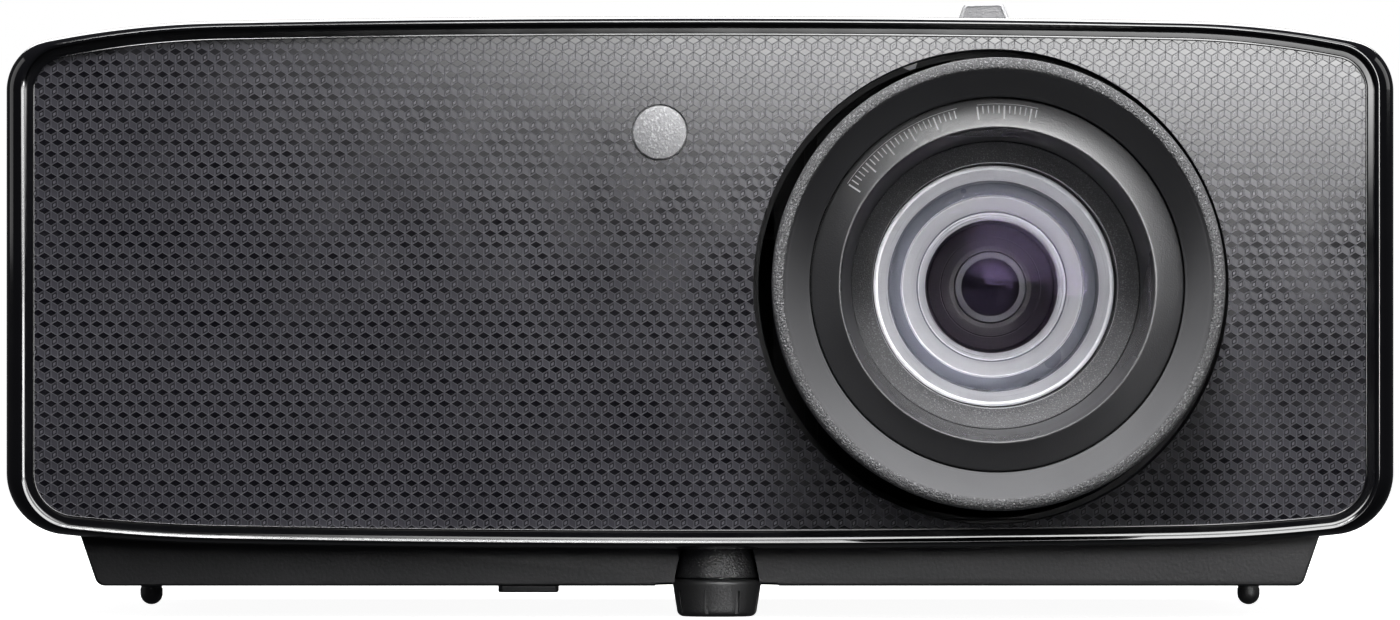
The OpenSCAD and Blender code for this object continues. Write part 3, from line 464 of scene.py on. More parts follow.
def on_circle(p, q, cx, cz, r):
    """Where segment p-q crosses a circle, one end inside and one out."""
    ax, az = p[0] - cx, p[2] - cz
    dx, dz = q[0] - p[0], q[2] - p[2]
    a, b, c = dx * dx + dz * dz, 2 * (ax * dx + az * dz), ax * ax + az * az - r * r
    root = math.sqrt(max(b * b - 4 * a * c, 0))
    t = [(-b - root) / (2 * a), (-b + root) / (2 * a)]
    best = min(t, key=lambda v: abs(v - 0.5) if 0 <= v <= 1 else 9 + abs(v))
    return lerp(p, q, min(max(best, 0), 1))


def clip_outside_circle(poly, cx, cz, r):
    """Keeps the part of a small polygon outside a circle, with points added along the arc."""
    def gap(p):
        return math.hypot(p[0] - cx, p[2] - cz) - r

    inside = [gap(p) < 0 for p in poly]
    if not any(inside):
        return poly
    out = []
    for i, p in enumerate(poly):
        j = (i + 1) % len(poly)
        if not inside[i]:
            out.append(p)
        if inside[i] != inside[j]:
            hit = on_circle(p, poly[j], cx, cz, r)
            if inside[i] and out and abs(gap(out[-1])) < 1e-6:
                out += arc_between(out[-1], hit, cx, cz, r)
            out.append(hit)
    if len(out) > 2 and abs(gap(out[0])) < 1e-6 and abs(gap(out[-1])) < 1e-6:
        out += arc_between(out[-1], out[0], cx, cz, r)
    return out if len(out) > 2 else []


def arc_between(p, q, cx, cz, r):
    """Points on the circle strictly between p and q."""
    a0, a1 = math.atan2(p[2] - cz, p[0] - cx), math.atan2(q[2] - cz, q[0] - cx)
    turn = (a1 - a0 + math.pi) % (2 * math.pi) - math.pi
    n = int(abs(turn) * r / ARC_STEP)
    return [
        (cx + r * math.cos(a0 + turn * k / (n + 1)), p[1] + (q[1] - p[1]) * k / (n + 1),
         cz + r * math.sin(a0 + turn * k / (n + 1)))
        for k in range(1, n + 1)
    ]


def inset_quad(quad, amount, y):
    """A parallelogram's corners moved in by amount from each side, at depth y."""
    out = []
    n = len(quad)
    for i in range(n):
        p, a, b = quad[i], quad[i - 1], quad[(i + 1) % n]
        u = Vector((a[0] - p[0], a[1] - p[1])).normalized()
        v = Vector((b[0] - p[0], b[1] - p[1])).normalized()
        s = abs(u.x * v.y - u.y * v.x)
        out.append((p[0] + (u.x + v.x) * amount / s, y, p[1] + (u.y + v.y) * amount / s))
    return out


def ring_of(outer, inner, mark):
    n = len(outer)
    return [([outer[i], outer[(i + 1) % n], inner[(i + 1) % n], inner[i]], mark) for i in range(n)]


def cell_faces(cx, cz):
    """One hexagon's three rhombi: glossy on top, plain on the left, a small frame on the right."""
    c = (cx, cz)
    tip = [polar(cx, cz, CELL, a) for a in (90, 30, -30, -90, -150, 150)]
    top = [c, tip[1], tip[0], tip[5]]
    left = [c, tip[5], tip[4], tip[3]]
    right = [c, tip[3], tip[2], tip[1]]
    floor_y = PANEL_Y + PLATE_DEPTH
    faces = []
    for quad, mark in ((top, 3), (left, 1), (right, 2)):
        plate = inset_quad(quad, LINE_HALF, floor_y)
        faces += ring_of([(x, PANEL_Y, z) for x, z in quad], plate, 0)
        if mark == 2:
            flat = [(p[0], p[2]) for p in plate]
            for inset, sink, band in FRAME_STEPS:
                inner = inset_quad(flat, inset, floor_y + sink)
                faces += ring_of(plate, inner, band)
                plate = inner
            mark = 0
        faces.append((plate, mark))
    return faces


def half_planes(points):
    """Half-planes of a convex outline given clockwise or anticlockwise as (x, z)."""
    cx, cz = (sum(values) / len(points) for values in zip(*points))
    planes = []
    for i, p in enumerate(points):
        q = points[(i + 1) % len(points)]
        nx, nz = q[1] - p[1], p[0] - q[0]
        size = math.hypot(nx, nz)
        if size < 1e-9:
            continue
        nx, nz = nx / size, nz / size
        if nx * (cx - p[0]) + nz * (cz - p[1]) > 0:
            nx, nz = -nx, -nz
        planes.append((nx, nz, nx * p[0] + nz * p[1]))
    return planes


def beyond(planes, x, z, margin):
    return any(nx * x + nz * z > d + margin for nx, nz, d in planes)


def panel_pieces():
    """Each relief cell's faces, clipped to the panel's outline and clear of its two holes."""
    planes = half_planes(outline(PANEL_SIDE, PANEL_INSET)[::2])
    safe = half_planes(outline(PANEL_SIDE + REACH, PANEL_INSET + REACH)[::2])
    width, pitch = CELL * math.sqrt(3), CELL * 1.5
    holes = [(BAY_X, BAY_Z, BAY_R), (IR_X, IR_Z, IR_HOLE_R)]
    rows = int(2 * HALF_H / pitch) + 3
    cols = int(2 * HALF_W / width) + 3
    for r in range(-rows // 2, rows // 2 + 1):
        for k in range(-cols // 2, cols // 2 + 1):
            cx = k * width + (width / 2 if r % 2 else 0)
            cz = MID_Z + r * pitch
            gaps = [math.hypot(cx - hx, cz - hz) - hr for hx, hz, hr in holes]
            if beyond(planes, cx, cz, REACH) or min(gaps) < -REACH:
                continue
            near_edge = beyond(safe, cx, cz, 0)
            for poly, mark in cell_faces(cx, cz):
                if near_edge:
                    poly = clip_convex(poly, planes)
                for gap, hole in zip(gaps, holes):
                    if gap < REACH:
                        poly = clip_outside_circle(poly, *hole)
                yield poly, mark


def panel_relief():
    points, index, faces, marks = [], {}, [], []
    for poly, mark in panel_pieces():
        ids = []
        for p in poly:
            key = tuple(round(v, 4) for v in p)
            if key not in index:
                index[key] = len(points)
                points.append(p)
            if not ids or (ids[-1] != index[key] and ids[0] != index[key]):
                ids.append(index[key])
        if len(ids) > 2 and len(set(ids)) == len(ids):
            faces.append(ids)
            marks.append(mark)
    mesh = raw_mesh("front_panel_skin", points, faces, marks)
    with editing(mesh) as bm:
        rim = [e for e in bm.edges if e.is_boundary]
        made = bmesh.ops.extrude_edge_only(bm, edges=rim)["geom"]
        for v in made:
            if isinstance(v, bmesh.types.BMVert):
                v.co.y = PANEL_BACK * MM
        back = [e for e in bm.edges if e.is_boundary and e.verts[0].co.y > (PANEL_BACK - 0.01) * MM]
        made += bmesh.ops.triangle_fill(bm, edges=back, use_beauty=False)["geom"]
        for f in made:
            if isinstance(f, bmesh.types.BMFace):
                f.material_index = 1
        bmesh.ops.recalc_face_normals(bm, faces=bm.faces)
    mesh.polygons.foreach_set("use_smooth", [False] * len(mesh.polygons))
    to_object("front_panel_skin", mesh, [P_LINE, P_SATIN, P_SATIN_B, P_GLOSS], "chassis",
              ["front_panel"])


# ---- Bezel and shell ----

def bezel():
    """Glossy frame: rounded outside, a crest, a cove inside it and a fine lip beside the panel.
    The profile gives how far each loop is narrowed, set in and behind the crest."""
    seat = SHELL_Y - RIDGE_Y
    profile = [
        (1.2, 1.2, seat - 0.25), (0.25, 0.2, seat - 0.25), (0.02, 0.02, seat - 0.6),
        (0, 0, seat - 2), (0, 0, 9), (0.02, 0.01, 7.2), (0.12, 0.08, 5.6), (0.34, 0.2, 4.2),
        (0.66, 0.38, 3.1), (1.08, 0.62, 2.15), (1.55, 0.9, 1.35), (2.05, 1.18, 0.7),
        (2.45, 1.4, 0.3), (2.65, 1.55, 0.12), (2.75, 1.7, 0.02), (2.8, 1.86, 0), (2.82, 1.94, 0.02),
        (2.84, 2.5, 0.21), (2.84, 2.57, 0.4), (2.84, 2.63, 0.9), (2.84, 2.7, 1.6), (2.84, 2.76, 2.1),
        (2.83, 2.82, 2.2), (2.82, 2.94, 2.23), (2.8, 3.6, 2.24), (2.76, 4.3, 2.25),
        (2.73, 4.88, 2.26), (2.72, 4.95, 2.18), (2.71, 5.35, 2.04), (2.7, 5.45, 2.02),
        (2.7, 5.55, 2.06), (2.7, 5.62, 2.2), (2.7, 5.66, 2.45), (2.7, 5.68, 2.75),
        (2.7, 5.68, 2.97), (2.7, 3.75, 2.98), (2.7, 3.75, seat - 0.25),
    ]
    loops = [outline_loop(side, inset, RIDGE_Y + depth) for side, inset, depth in profile]
    mesh = from_lists("bezel_frame", *bridged(loops, closed_across=True), sharp=38)
    to_object("bezel_frame", mesh, [PIANO], "chassis", ["front_bezel"])


def prism(points, z0, z1):
    """A straight prism over (x, y) points from z0 to z1, as vertices and faces."""
    n = len(points)
    faces = [tuple(range(n))[::-1], tuple(range(n, 2 * n))]
    faces += [(i, (i + 1) % n, n + (i + 1) % n, n + i) for i in range(n)]
    return [(x, y, z) for z in (z0, z1) for x, y in points], faces


def prism_mesh(name, points, z0, z1):
    mesh = raw_mesh(name, *prism(points, z0, z1))
    fix_normals(mesh)
    return mesh


def box_mesh(name, x0, x1, y0, y1, z0, z1):
    return prism_mesh(name, [(x0, y0), (x1, y0), (x1, y1), (x0, y1)], z0, z1)


def rounded_rect(cx, cy, w, d, r, n=8):
    return [polar(cx + sx * (w / 2 - r), cy + sy * (d / 2 - r), r, a0 + 90 * i / n)
            for sx, sy, a0 in ((1, 1, 0), (-1, 1, 90), (-1, -1, 180), (1, -1, 270))
            for i in range(n + 1)]


def circle(cx, cy, r, n=72):
    return [polar(cx, cy, r, 360 * i / n) for i in range(n)]


def round_node(node):
    """Middle and radius of an upright round CAD node."""
    low, high = cad_box(node)
    return (low.x + high.x) / 2, (low.y + high.y) / 2, (high.x - low.x) / 2


def cut(raw, cutters, sharp=30):
    """A mesh with each cutter mesh taken out of it."""
    base = add_object("cut_base", raw)
    tools = [add_object(f"cutter_{i}", c) for i, c in enumerate(cutters)]
    for tool in tools:
        mod = base.modifiers.new(tool.name, "BOOLEAN")
        mod.operation = "DIFFERENCE"
        mod.solver = "EXACT"
        mod.object = tool
    bpy.context.view_layer.update()
    depsgraph = bpy.context.evaluated_depsgraph_get()
    result = bpy.data.meshes.new_from_object(base.evaluated_get(depsgraph))
    for o in [base, *tools]:
        bpy.data.objects.remove(o)
    smooth_by_angle(result, sharp)
    return result


def shell_mesh(name, lower):
    """The shell above or below the seam: one closed skin with a rounded back edge."""
    front, back = SHELL_Y + 0.15, BACK_Y
    profile = [(0.5, front), (0.2, front + 0.06), (0.05, front + 0.25), (0, front + 0.6)]
    profile += [(0, front + k * (back - 7 - front) / 6) for k in range(1, 7)]
    profile += [(0.06, back - 4.6), (0.25, back - 2.8), (0.6, back - 1.5), (1.1, back - 0.6),
                (1.7, back - 0.12), (2.3, back)]
    loops = [outline_loop(inset, inset, y) for inset, y in profile]
    loops += [outline_loop(0, inset, y) for inset, y in (
        (5.0, back), (5.0, REAR_BACK + 0.05), (WALL, REAR_BACK - 0.05), (WALL, front))]
    mesh = from_lists(name, *bridged(loops, closed_across=True))
    z = (SEAM_Z - SEAM_HALF if lower else SEAM_Z + SEAM_HALF) * MM
    with editing(mesh) as bm:
        bmesh.ops.bisect_plane(bm, geom=bm.verts[:] + bm.edges[:] + bm.faces[:], plane_co=(0, 0, z),
                               plane_no=(0, 0, 1), clear_outer=lower, clear_inner=not lower)
        bmesh.ops.holes_fill(bm, edges=[e for e in bm.edges if e.is_boundary], sides=0)
        bmesh.ops.recalc_face_normals(bm, faces=bm.faces)
    return mesh


THROUGH_COVER = (150, 200)
SLOT_X, SLOT_W, SLOT_D = 81.4, 56, 8.4
PAD_HOLE = (-110, 95, 88, 50)
DIAL_HOLE_R = 8.3


def top_cover():
    lever_low, lever_high = cad_box("zoom_lever")
    vent_low, vent_high = cad_box("exhaust_grille")
    lever_y = (lever_low.y + lever_high.y) / 2
    cutters = [
        box_mesh("vent_cut", -HALF_W - 60, HALF_W + 60, vent_low.y - 0.3, vent_high.y + 0.3,
                 vent_low.z - 0.3, vent_high.z + 0.3),
        prism_mesh("slot_cut", rounded_rect(SLOT_X, lever_y, SLOT_W, SLOT_D, 4), *THROUGH_COVER),
        prism_mesh("pad_cut", rounded_rect(*PAD_HOLE, 1.2), *THROUGH_COVER),
    ]
    for node in ("shift_dial_h", "shift_dial_v"):
        cx, cy = round_node(node)[:2]
        cutters.append(prism_mesh("dial_cut", circle(cx, cy, DIAL_HOLE_R), *THROUGH_COVER))
    mesh = cut(shell_mesh("cover_raw", False), cutters)
    to_object("cover_shell", mesh, [COVER], "chassis", ["top_cover"])


# ---- Case, tray and feet ----

def lathe_up(name, profile, materials, body, centre, segments, replaced, cutters=()):
    """Turns a profile of (radius, z) about a vertical line through centre = (x, y)."""
    cx, cy = centre
    mesh = revolved(name, profile, segments, lambda r, a, z: (
        cx + r * math.cos(a), cy + r * math.sin(a), z))
    if cutters:
        mesh = cut(mesh, cutters, 32)
    to_object(name, mesh, materials, body, replaced)


def extruded(name, points, y0, y1, bevel=0.5):
    """A front-view outline of (x, z) points carried from y0 to y1, with both ends rounded off."""
    n = len(points)
    cx, cz = (sum(values) / n for values in zip(*points))
    half_x, half_z = (max(abs(p[k] - c) for p in points) for k, c in enumerate((cx, cz)))

    def loop(inset, y):
        return [(cx + (x - cx) * (1 - inset / half_x), y, cz + (z - cz) * (1 - inset / half_z))
                for x, z in points]

    steps = [(1 - math.cos(math.radians(a)), math.sin(math.radians(a))) for a in (0, 22, 45, 67, 90)]
    loops = [loop(bevel * (1 - s), y0 + bevel * c) for c, s in steps]
    loops += [loop(bevel * (1 - s), y1 - bevel * c) for c, s in reversed(steps)]
    verts, faces = bridged(loops)
    return from_lists(name, verts, faces + end_caps(n, len(verts)))


TRAY_Z = cad_box("bottom_case")[0].z + 1.9
TRAY_HALF = 174.6
TRAY_RISE = 19.5
TRAY_FLARE = 6.7
TRAY_FRONT, TRAY_BACK = SHELL_Y + 6, BACK_Y - 10


def rounded_polygon(points, r, n=6):
    """A convex outline with its corners rounded."""
    out = []
    for i, p in enumerate(points):
        corner = Vector(p)
        a = (Vector(points[i - 1]) - corner).normalized()
        b = (Vector(points[(i + 1) % len(points)]) - corner).normalized()
        half = a.angle(b) / 2
        centre = corner + (a + b).normalized() * (r / math.sin(half))
        t = r / math.tan(half)
        start, end = corner + a * t - centre, corner + b * t - centre
        a0, a1 = math.atan2(start.y, start.x), math.atan2(end.y, end.x)
        turn = (a1 - a0 + math.pi) % (2 * math.pi) - math.pi
        out += [polar(*centre, r, math.degrees(a0 + turn * k / n)) for k in range(n + 1)]
    return out


def slot_points(cx, cy, w, d, n=10):
    """A slot with round ends, long along y."""
    return [polar(cx, cy + side * (d - w) / 2, w / 2, a0 + 180 * i / n)
            for side, a0 in ((1, 0), (-1, 180)) for i in range(n + 1)]


SCREWS = [(x, y) for x in (-150, 0, 150) for y in (-60, 140)]
INSERTS = [(x, y) for x in (-110, 110) for y in (-40, 100)]
COLLAR_HOLE_R = 12.2
TAB_X, TAB_W, TAB_D = -49.8, 17.4, 16
VENTS, VENT_PITCH = 12, 6
VENT_X, VENT_Y, VENT_W, VENT_D = -90, -30, 3, 44
GROOVES, GROOVE_START = 8, -104.8


def bottom_case():
    rear_feet = [round_node(f"rear_foot_{side}") for side in ("left", "right")]
    through = [prism_mesh("foot_hole", circle(x, y, r + 0.3), 0, 60) for x, y, r in rear_feet]
    through.append(prism_mesh("collar_hole", circle(FOOT_X, FOOT_Y, COLLAR_HOLE_R), 0, 21))
    raw = shell_mesh("case_raw", True)
    smooth_by_angle(raw, 30)
    to_object("case_shell", cut(raw, through), [CASE], "chassis", ["bottom_case"])
    wells = [  # x, y, radius, top, points
        (FOOT_X, FOOT_Y, 18.8, TRAY_Z + 1, 120), (FOOT_X, FOOT_Y, 13.5, TRAY_Z + 2.6, 96),
        (FOOT_X, FOOT_Y, COLLAR_HOLE_R, 40, 96),
        *[(x, y, r + 0.3, 60, 48) for x, y, r in rear_feet],
        *[(x, y, 3.2, TRAY_Z + 2.2, 48) for x, y in SCREWS],
        *[(x, y, 3, TRAY_Z + 8, 48) for x, y in INSERTS],
    ]
    cutters = [prism_mesh("well", circle(x, y, r, n), 0, top) for x, y, r, top, n in wells]
    cutters += [prism_mesh("vent_slot", slot_points(VENT_X + i * VENT_PITCH, VENT_Y, VENT_W, VENT_D),
                           0, TRAY_Z + 2.4) for i in range(VENTS)]
    cutters.append(box_mesh("tray_room", -TRAY_HALF + 3, TRAY_HALF - 3, TRAY_FRONT + 3, TRAY_BACK - 3,
                            TRAY_Z + 2.5, TRAY_Z + 40))
    side = [(12.4, 9), (12.2, 11.5), (10.3, 20.7)]
    mouth = [(FOOT_X + w, z) for w, z in side] + [(FOOT_X - w, z) for w, z in reversed(side)]
    cutters.append(extruded("collar_mouth", mouth, TRAY_FRONT - 2, FOOT_Y, 0.05))
    side = [(TRAY_HALF, TRAY_Z), (TRAY_HALF + TRAY_FLARE, TRAY_Z + TRAY_RISE)]
    walls = rounded_polygon(side + [(-x, z) for x, z in reversed(side)], 3)
    tray = cut(extruded("tray_raw", walls, TRAY_FRONT, TRAY_BACK, 0.7), cutters)
    to_object("base_tray", tray, [TRAY], "chassis", ["bottom_case"])
    tab = prism_mesh("tab_raw", rounded_rect(TAB_X, TRAY_FRONT + 9, TAB_W, TAB_D, 1.5), TRAY_Z - 1.9,
                     TRAY_Z + 0.6)
    with editing(tab) as bm:
        low = [e for e in bm.edges if all(v.co.z < (TRAY_Z - 1.8) * MM for v in e.verts)]
        bmesh.ops.bevel(bm, geom=low, offset=0.5 * MM, segments=3, affect="EDGES", profile=0.5)
    smooth_by_angle(tab, 40)
    to_object("tray_tab", tab, [TRAY], "chassis", ["bottom_case"])


def feet():
    knob = [
        (0, 0.35), (5.0, 0.35), (5.4, 0), (9.6, 0), *[polar(9.6, 2, 2, a - 90) for a in range(15, 91, 15)],
        (12.75, 9.0), (12.9, 9.6), (12.85, 10.0), (12.6, 10.35), (12.2, 10.6), (11.8, 10.85), (0, 10.85),
    ]
    grooves = []
    for i in range(GROOVES):
        a = math.radians(GROOVE_START + i * 360 / GROOVES)
        groove = box_mesh("groove", 11.2, 15.4, -0.55, 0.55, -1, 7.5)
        groove.transform(Matrix.Translation((FOOT_X * MM, FOOT_Y * MM, 0)) @ Matrix.Rotation(a, 4, "Z"))
        grooves.append(groove)
    lathe_up("knob_body", knob, [KNOB], "front_knob", (FOOT_X, FOOT_Y), 128, ["foot_knob"],
             grooves)
    low, high = cad_box("foot_collar")
    cone = [(11.55, 0), (11.8, 0.12), (11.88, 0.4), (11.7, 1.4), (11.1, 4.4), (10.4, 7.4), (9.95, 9.3)]
    collar = [(4.08, low.z), *[(r, low.z + z) for r, z in cone], (9.0, 20.6), (9.0, high.z),
              (4.08, high.z)]
    lathe_up("collar_cone", collar, [COLLAR], "chassis", (FOOT_X, FOOT_Y), 128, ["foot_collar"])
    for side in ("left", "right"):
        node = f"rear_foot_{side}"
        top = cad_box(node)[1].z
        x, y, r = round_node(node)
        pin = [(0, 0), *[polar(0, r, r, a - 90) for a in range(8, 89, 8)], (r, r), (r, 5.0),
               (r - 0.22, 5.15), (r - 0.22, 5.6), (r, 5.75), (r, top), (0, top)]
        lathe_up(f"rear_pin_{side}", pin, [KNOB], f"rear_foot_{side[0]}", (x, y), 64, [node])


# ---- Lens ----

RIBS = 140
TICK_ARCS = ((146.0, 103.0), (96.5, 77.0))
TICK_STEP = 1.75
MARK_ANGLE = 109.5
LEVER_TOP = 178.4
LEVER_LEAN = math.radians(-1.7)


def polar_block(r0, r1, a0, a1, y_at, lift, sink=0.02, steps=1):
    """A thin patch on a turned surface y = y_at(r), raised by lift. Angles in degrees, 90 is up."""
    loops = []
    for i in range(steps + 1):
        loop = []
        for r, depth in ((r0, -lift), (r1, -lift), (r1, sink), (r0, sink)):
            x, z = polar(LENS_X, LENS_Z, r, a0 + (a1 - a0) * i / steps)
            loop.append((x, y_at(r) + depth, z))
        loops.append(loop)
    verts, faces = bridged(loops)
    return verts, faces + end_caps(4, len(verts))


def joined(name, parts, sharp=32):
    verts, faces = [], []
    for v, f in parts:
        base = len(verts)
        verts += v
        faces += [tuple(i + base for i in face) for face in f]
    return from_lists(name, verts, faces, sharp=sharp)


def focus_ring():
    r = LENS_R
    depth = RING_HIGH.y - RIM_Y
    profile = [
        (53.75, 16.2), (53.75, 15.9), (54.1, 15.2), (54.2, 15.05), (54.42, 14.75), (54.52, 14.4),
        (54.9, 13.5), (56.5, 10.0), (58.2, 6.4), (59.8, 3.2), (60.3, 2.2), (60.38, 2.1),
        (60.62, 1.75), (60.68, 1.5), (61.1, 0.7), (61.22, 0.42), (61.45, 0.16), (61.8, 0.03),
        (62.15, 0), (62.6, 0.08), (63.05, 0.22), (63.45, 0.42), (63.8, 0.66), (64.1, 0.95),
        (64.33, 1.3), (64.46, 1.7), (r, 2.2), (r, 8), (r - 0.15, 8.3), (r - 0.9, 9.0), (r - 1, 9.3),
        (r - 1, 24.7), (r - 0.9, 25.0), (r - 0.15, 25.7), (r, 26), (r, depth - 0.4),
        (r - 0.3, depth - 0.05), (53.75, depth - 0.05),
    ]
    # Mark 2, the outer edge step, carries the painted edge highlight.
    marks = [0] * 14 + [1] * 11 + [2] + [3] * 14
    lathe("focus_body", profile, [FUNNEL, RIM, RIM_EDGE_HIGHLIGHT, GRIP], "focus", 288, ["focus_ring"],
          marks, 24, RIM_Y)
    ribs = []
    for i in range(RIBS):
        mid, half = 360 * i / RIBS, 360 / RIBS * 0.32
        loops = []
        for y, drop in ((9.6, 0.55), (10.3, 0.0), (23.7, 0.0), (24.4, 0.55)):
            crest = r - 0.2 - drop
            corners = [(mid - half, r - 1.1), (mid - half * 0.6, crest), (mid + half * 0.6, crest),
                       (mid + half, r - 1.1)]
            corners = [polar(LENS_X, LENS_Z, rr, a) for a, rr in corners]
            loops.append([(x, RIM_Y + y, z) for x, z in corners])
        verts, faces = bridged(loops)
        ribs.append((verts, faces + end_caps(4, len(verts))))
    to_object("focus_grip", joined("focus_grip", ribs, 40), [GRIP], "focus", ["focus_ring"])


def face_ring():
    y = RIM_Y + 16
    profile = [
        (53.25, 0.75), (53.1, 0.62), (52.9, 0.52), (46.2, -2.08), (45.6, -2.3), (45.3, -2.4),
        (45.05, -2.36), (44.86, -2.2), (44.76, -1.95), (43.9, 2.6), (43.0, 7.3), (42.2, 11.6),
        (41.5, 15.9), (45.6, 15.9), (45.6, 3.9), (53.25, 3.9),
    ]
    marks = [0] * 6 + [1] * 10
    lathe("face_cone", profile, [FACE, WELL], "lens_carriage", 256, ["lens_face_ring"],
          marks, 28, y)

    def surface(r):
        return y + 0.52 - (52.9 - r) * 2.6 / 6.7

    ticks = []
    for start, end in TICK_ARCS:
        n = int((start - end) / TICK_STEP)
        for i in range(n + 1):
            a = start - i * TICK_STEP
            low_r, half = (47.3, 0.28) if i % 5 == 0 else (48.9, 0.2)
            ticks.append(polar_block(low_r, 51.2, a - half, a + half, surface, 0.05))
        ticks.append(polar_block(51.6, 51.75, end, start, surface, 0.05, steps=n * 2))
    to_object("face_ticks", joined("face_ticks", ticks), [INK], "lens_carriage", ())


def retainer():
    profile = [
        (45.5, -0.1), (45.5, -5.9), (41.9, -6.0), (41.7, -6.6), (41.55, -8.1), (41.42, -8.5),
        (41.2, -8.62), (40.95, -8.45), (40.6, -7.9), (40.0, -7.05), (39.3, -6.2), (38.6, -5.5),
        (37.9, -4.95), (37.2, -4.62), (36.4, -4.45), (35.75, -4.42), (35.5, -4.38), (35.32, -4.2),
        (35.2, -3.9), (35.15, -0.1),
    ]
    marks = [0] * 16 + [1] + [2] * 3
    lathe("retainer_ring", profile, [RETAINER, BRIGHT, BARREL], "lens_carriage", 224,
          ["glass_retainer"], marks, 34, RIM_Y + 44)


def dome(centre_y, sphere_r, half, n):
    """(radius, y) from the axis outwards on a sphere whose vertex is at centre_y."""
    return [(half * i / n, centre_y + sphere_r - math.sqrt(sphere_r ** 2 - (half * i / n) ** 2))
            for i in range(n + 1)]


def glass():
    low = cad_box("front_lens")[0]
    lens = dome(0.02, 110, 39.4, 18) + dome(5.0, 96, 39.4, 18)[::-1]
    lathe("front_glass", lens, [GLASS], "lens_carriage", 128, ["front_lens"], y=low.y)
    low, high = cad_box("inner_lens")
    back = high.y - low.y - 0.1
    lens = dome(0.05, 30, 10.3, 12) + [(10.3, back), (0, back)]
    lathe("inner_glass", lens, [INNER_GLASS, FROSTED], "lens_carriage", 96, ["inner_lens"],
          [0] * 10 + [1] * 5, y=low.y)


def inner_cell():
    profile = [
        (39.8, -0.9), (34.6, -0.9), (34.45, -0.95), (33.45, -0.98), (33.25, -0.92), (32.85, -0.45),
        (32.3, 0.35), (31.3, 1.8), (30.55, 2.75), (30.35, 3.1), (30.2, 3.6), (29.85, 9.9),
        (29.6, 10.4), (26.75, 13.8), (26.55, 13.95), (26.3, 13.8), (26.1, 13.5), (25.9, 13.55),
        (23.6, 15.9), (21.95, 17.55), (21.8, 17.85), (21.5, 18.15), (21.3, 18.1), (19.6, 19.75),
        (19.35, 20.2), (19.2, 21.2), (18.9, 25.5), (18.6, 29.9), (18.2, 30.6), (14.9, 32.5),
        (14.7, 32.5), (14.5, 32.8), (12.2, 33.9), (11.9, 33.95), (10.75, 33.95), (10.65, 34.2),
        (10.65, 37.9), (28, 37.9), (39.8, 16),
    ]
    marks = [2] * 2 + [0] * 6 + [1] + [3] * 5 + [1] + [0] * 4 + [3] * 2 + [1] * 3 + [4] * 15
    lathe("cell_rings", profile, [METAL, BRIGHT, BARREL, BLUED, DEEP], "lens_carriage", 192,
          ["inner_cell"], marks, 20, RIM_Y + 57)


def liner():
    low, high = cad_box("lens_bay_liner")
    outer = BAY_R + 1
    profile = [
        (outer, low.y), (outer - 0.75, low.y), (outer - 0.95, low.y + 0.2), (BAY_R, low.y + 0.6),
        (BAY_R, high.y - 2.0), (BAY_R - 1.55, high.y - 2.0), (BAY_R - 1.7, high.y - 1.85),
        (BAY_R - 1.7, high.y), (outer, high.y),
    ]
    lathe("bay_tube", profile, [BAY], "chassis", 224, ["lens_bay_liner"],
          axis=(BAY_X, BAY_Z))
    points = []
    for r, off in ((BAY_R - 0.05, -2.25), (BAY_R - 0.05, 2.25), (BAY_R - 1.5, 1.15), (BAY_R - 1.5, -0.5)):
        x, z = polar(BAY_X, BAY_Z, r, MARK_ANGLE)
        points.append(polar(x, z, off, MARK_ANGLE - 90))
    verts, faces = prism(points, high.y - 2.2, high.y - 1.9)
    mesh = from_lists("index_mark", [(x, y, z) for x, z, y in verts], faces)
    to_object("index_mark", mesh, [INK], "chassis", ())


def zoom_lever():
    low, high = cad_box("zoom_lever")
    base, top = 62.6, LEVER_TOP - LENS_Z
    tab = rounded_polygon([(-5.6, top), (-7.5, top - 5), (-8, base + 9), (-11, base),
                           (11, base), (8, base + 9), (7.5, top - 5), (5.6, top)], 1.2, 5)
    y0, y1 = low.y + 0.02, high.y - 0.02
    middle, half = (base + top) / 2, (top - base) / 2
    cos, sin = math.cos(LEVER_LEAN), math.sin(LEVER_LEAN)

    def loop(inset, y):
        shrunk = [(x * (1 - inset / 8), middle + (r - middle) * (1 - inset / half)) for x, r in tab]
        return [(LENS_X + x * cos + r * sin, y, LENS_Z - x * sin + r * cos) for x, r in shrunk]

    front = ((1.3, 0.16), (1.0, 0.14), (0.85, 0), (0.3, 0), (0.08, 0.12), (0, 0.4))
    loops = [loop(inset, y0 + depth) for inset, depth in front]
    loops += [loop(inset, y1 - depth) for inset, depth in ((0, 0.4), (0.1, 0.1), (0.4, 0))]
    verts, faces = bridged(loops)
    n = len(tab)
    marks = [0] * n + [1] * (4 * n) + [0] * (3 * n + 2)
    mesh = from_lists("lever_tab", verts, faces + end_caps(n, len(verts)), marks)
    to_object("lever_tab", mesh, [LEVER, LEVER_RIM], "zoom", ["zoom_lever"])


def ir_window():
    r = 7.8
    back = PANEL_BACK - IR_LOW.y
    profile = [(0, 0.02), (r - 0.5, 0.02), (r - 0.2, 0.1), (r - 0.05, 0.25), (r, 0.5),
               (r, back + 0.1), (10, back + 0.1), (10, back + 1.4), (0, back + 1.4)]
    lathe("ir_disc", profile, [IR], "chassis", 96, ["ir_window"], y=IR_LOW.y,
          axis=(IR_X, IR_Z))


# ---- Keypad ----

def bar(x0, y0, x1, y1, w):
    d = Vector((x1 - x0, y1 - y0)).normalized()
    nx, ny = -d.y * w / 2, d.x * w / 2
    return [(x0 + nx, y0 + ny), (x0 - nx, y0 - ny), (x1 - nx, y1 - ny), (x1 + nx, y1 + ny)]


def band(cx, cy, r, w, a0, a1, n=20):
    angles = [a0 + (a1 - a0) * i / n for i in range(n + 1)]
    outer = [polar(cx, cy, r + w / 2, a) for a in angles]
    return outer + [polar(cx, cy, r - w / 2, a) for a in reversed(angles)]


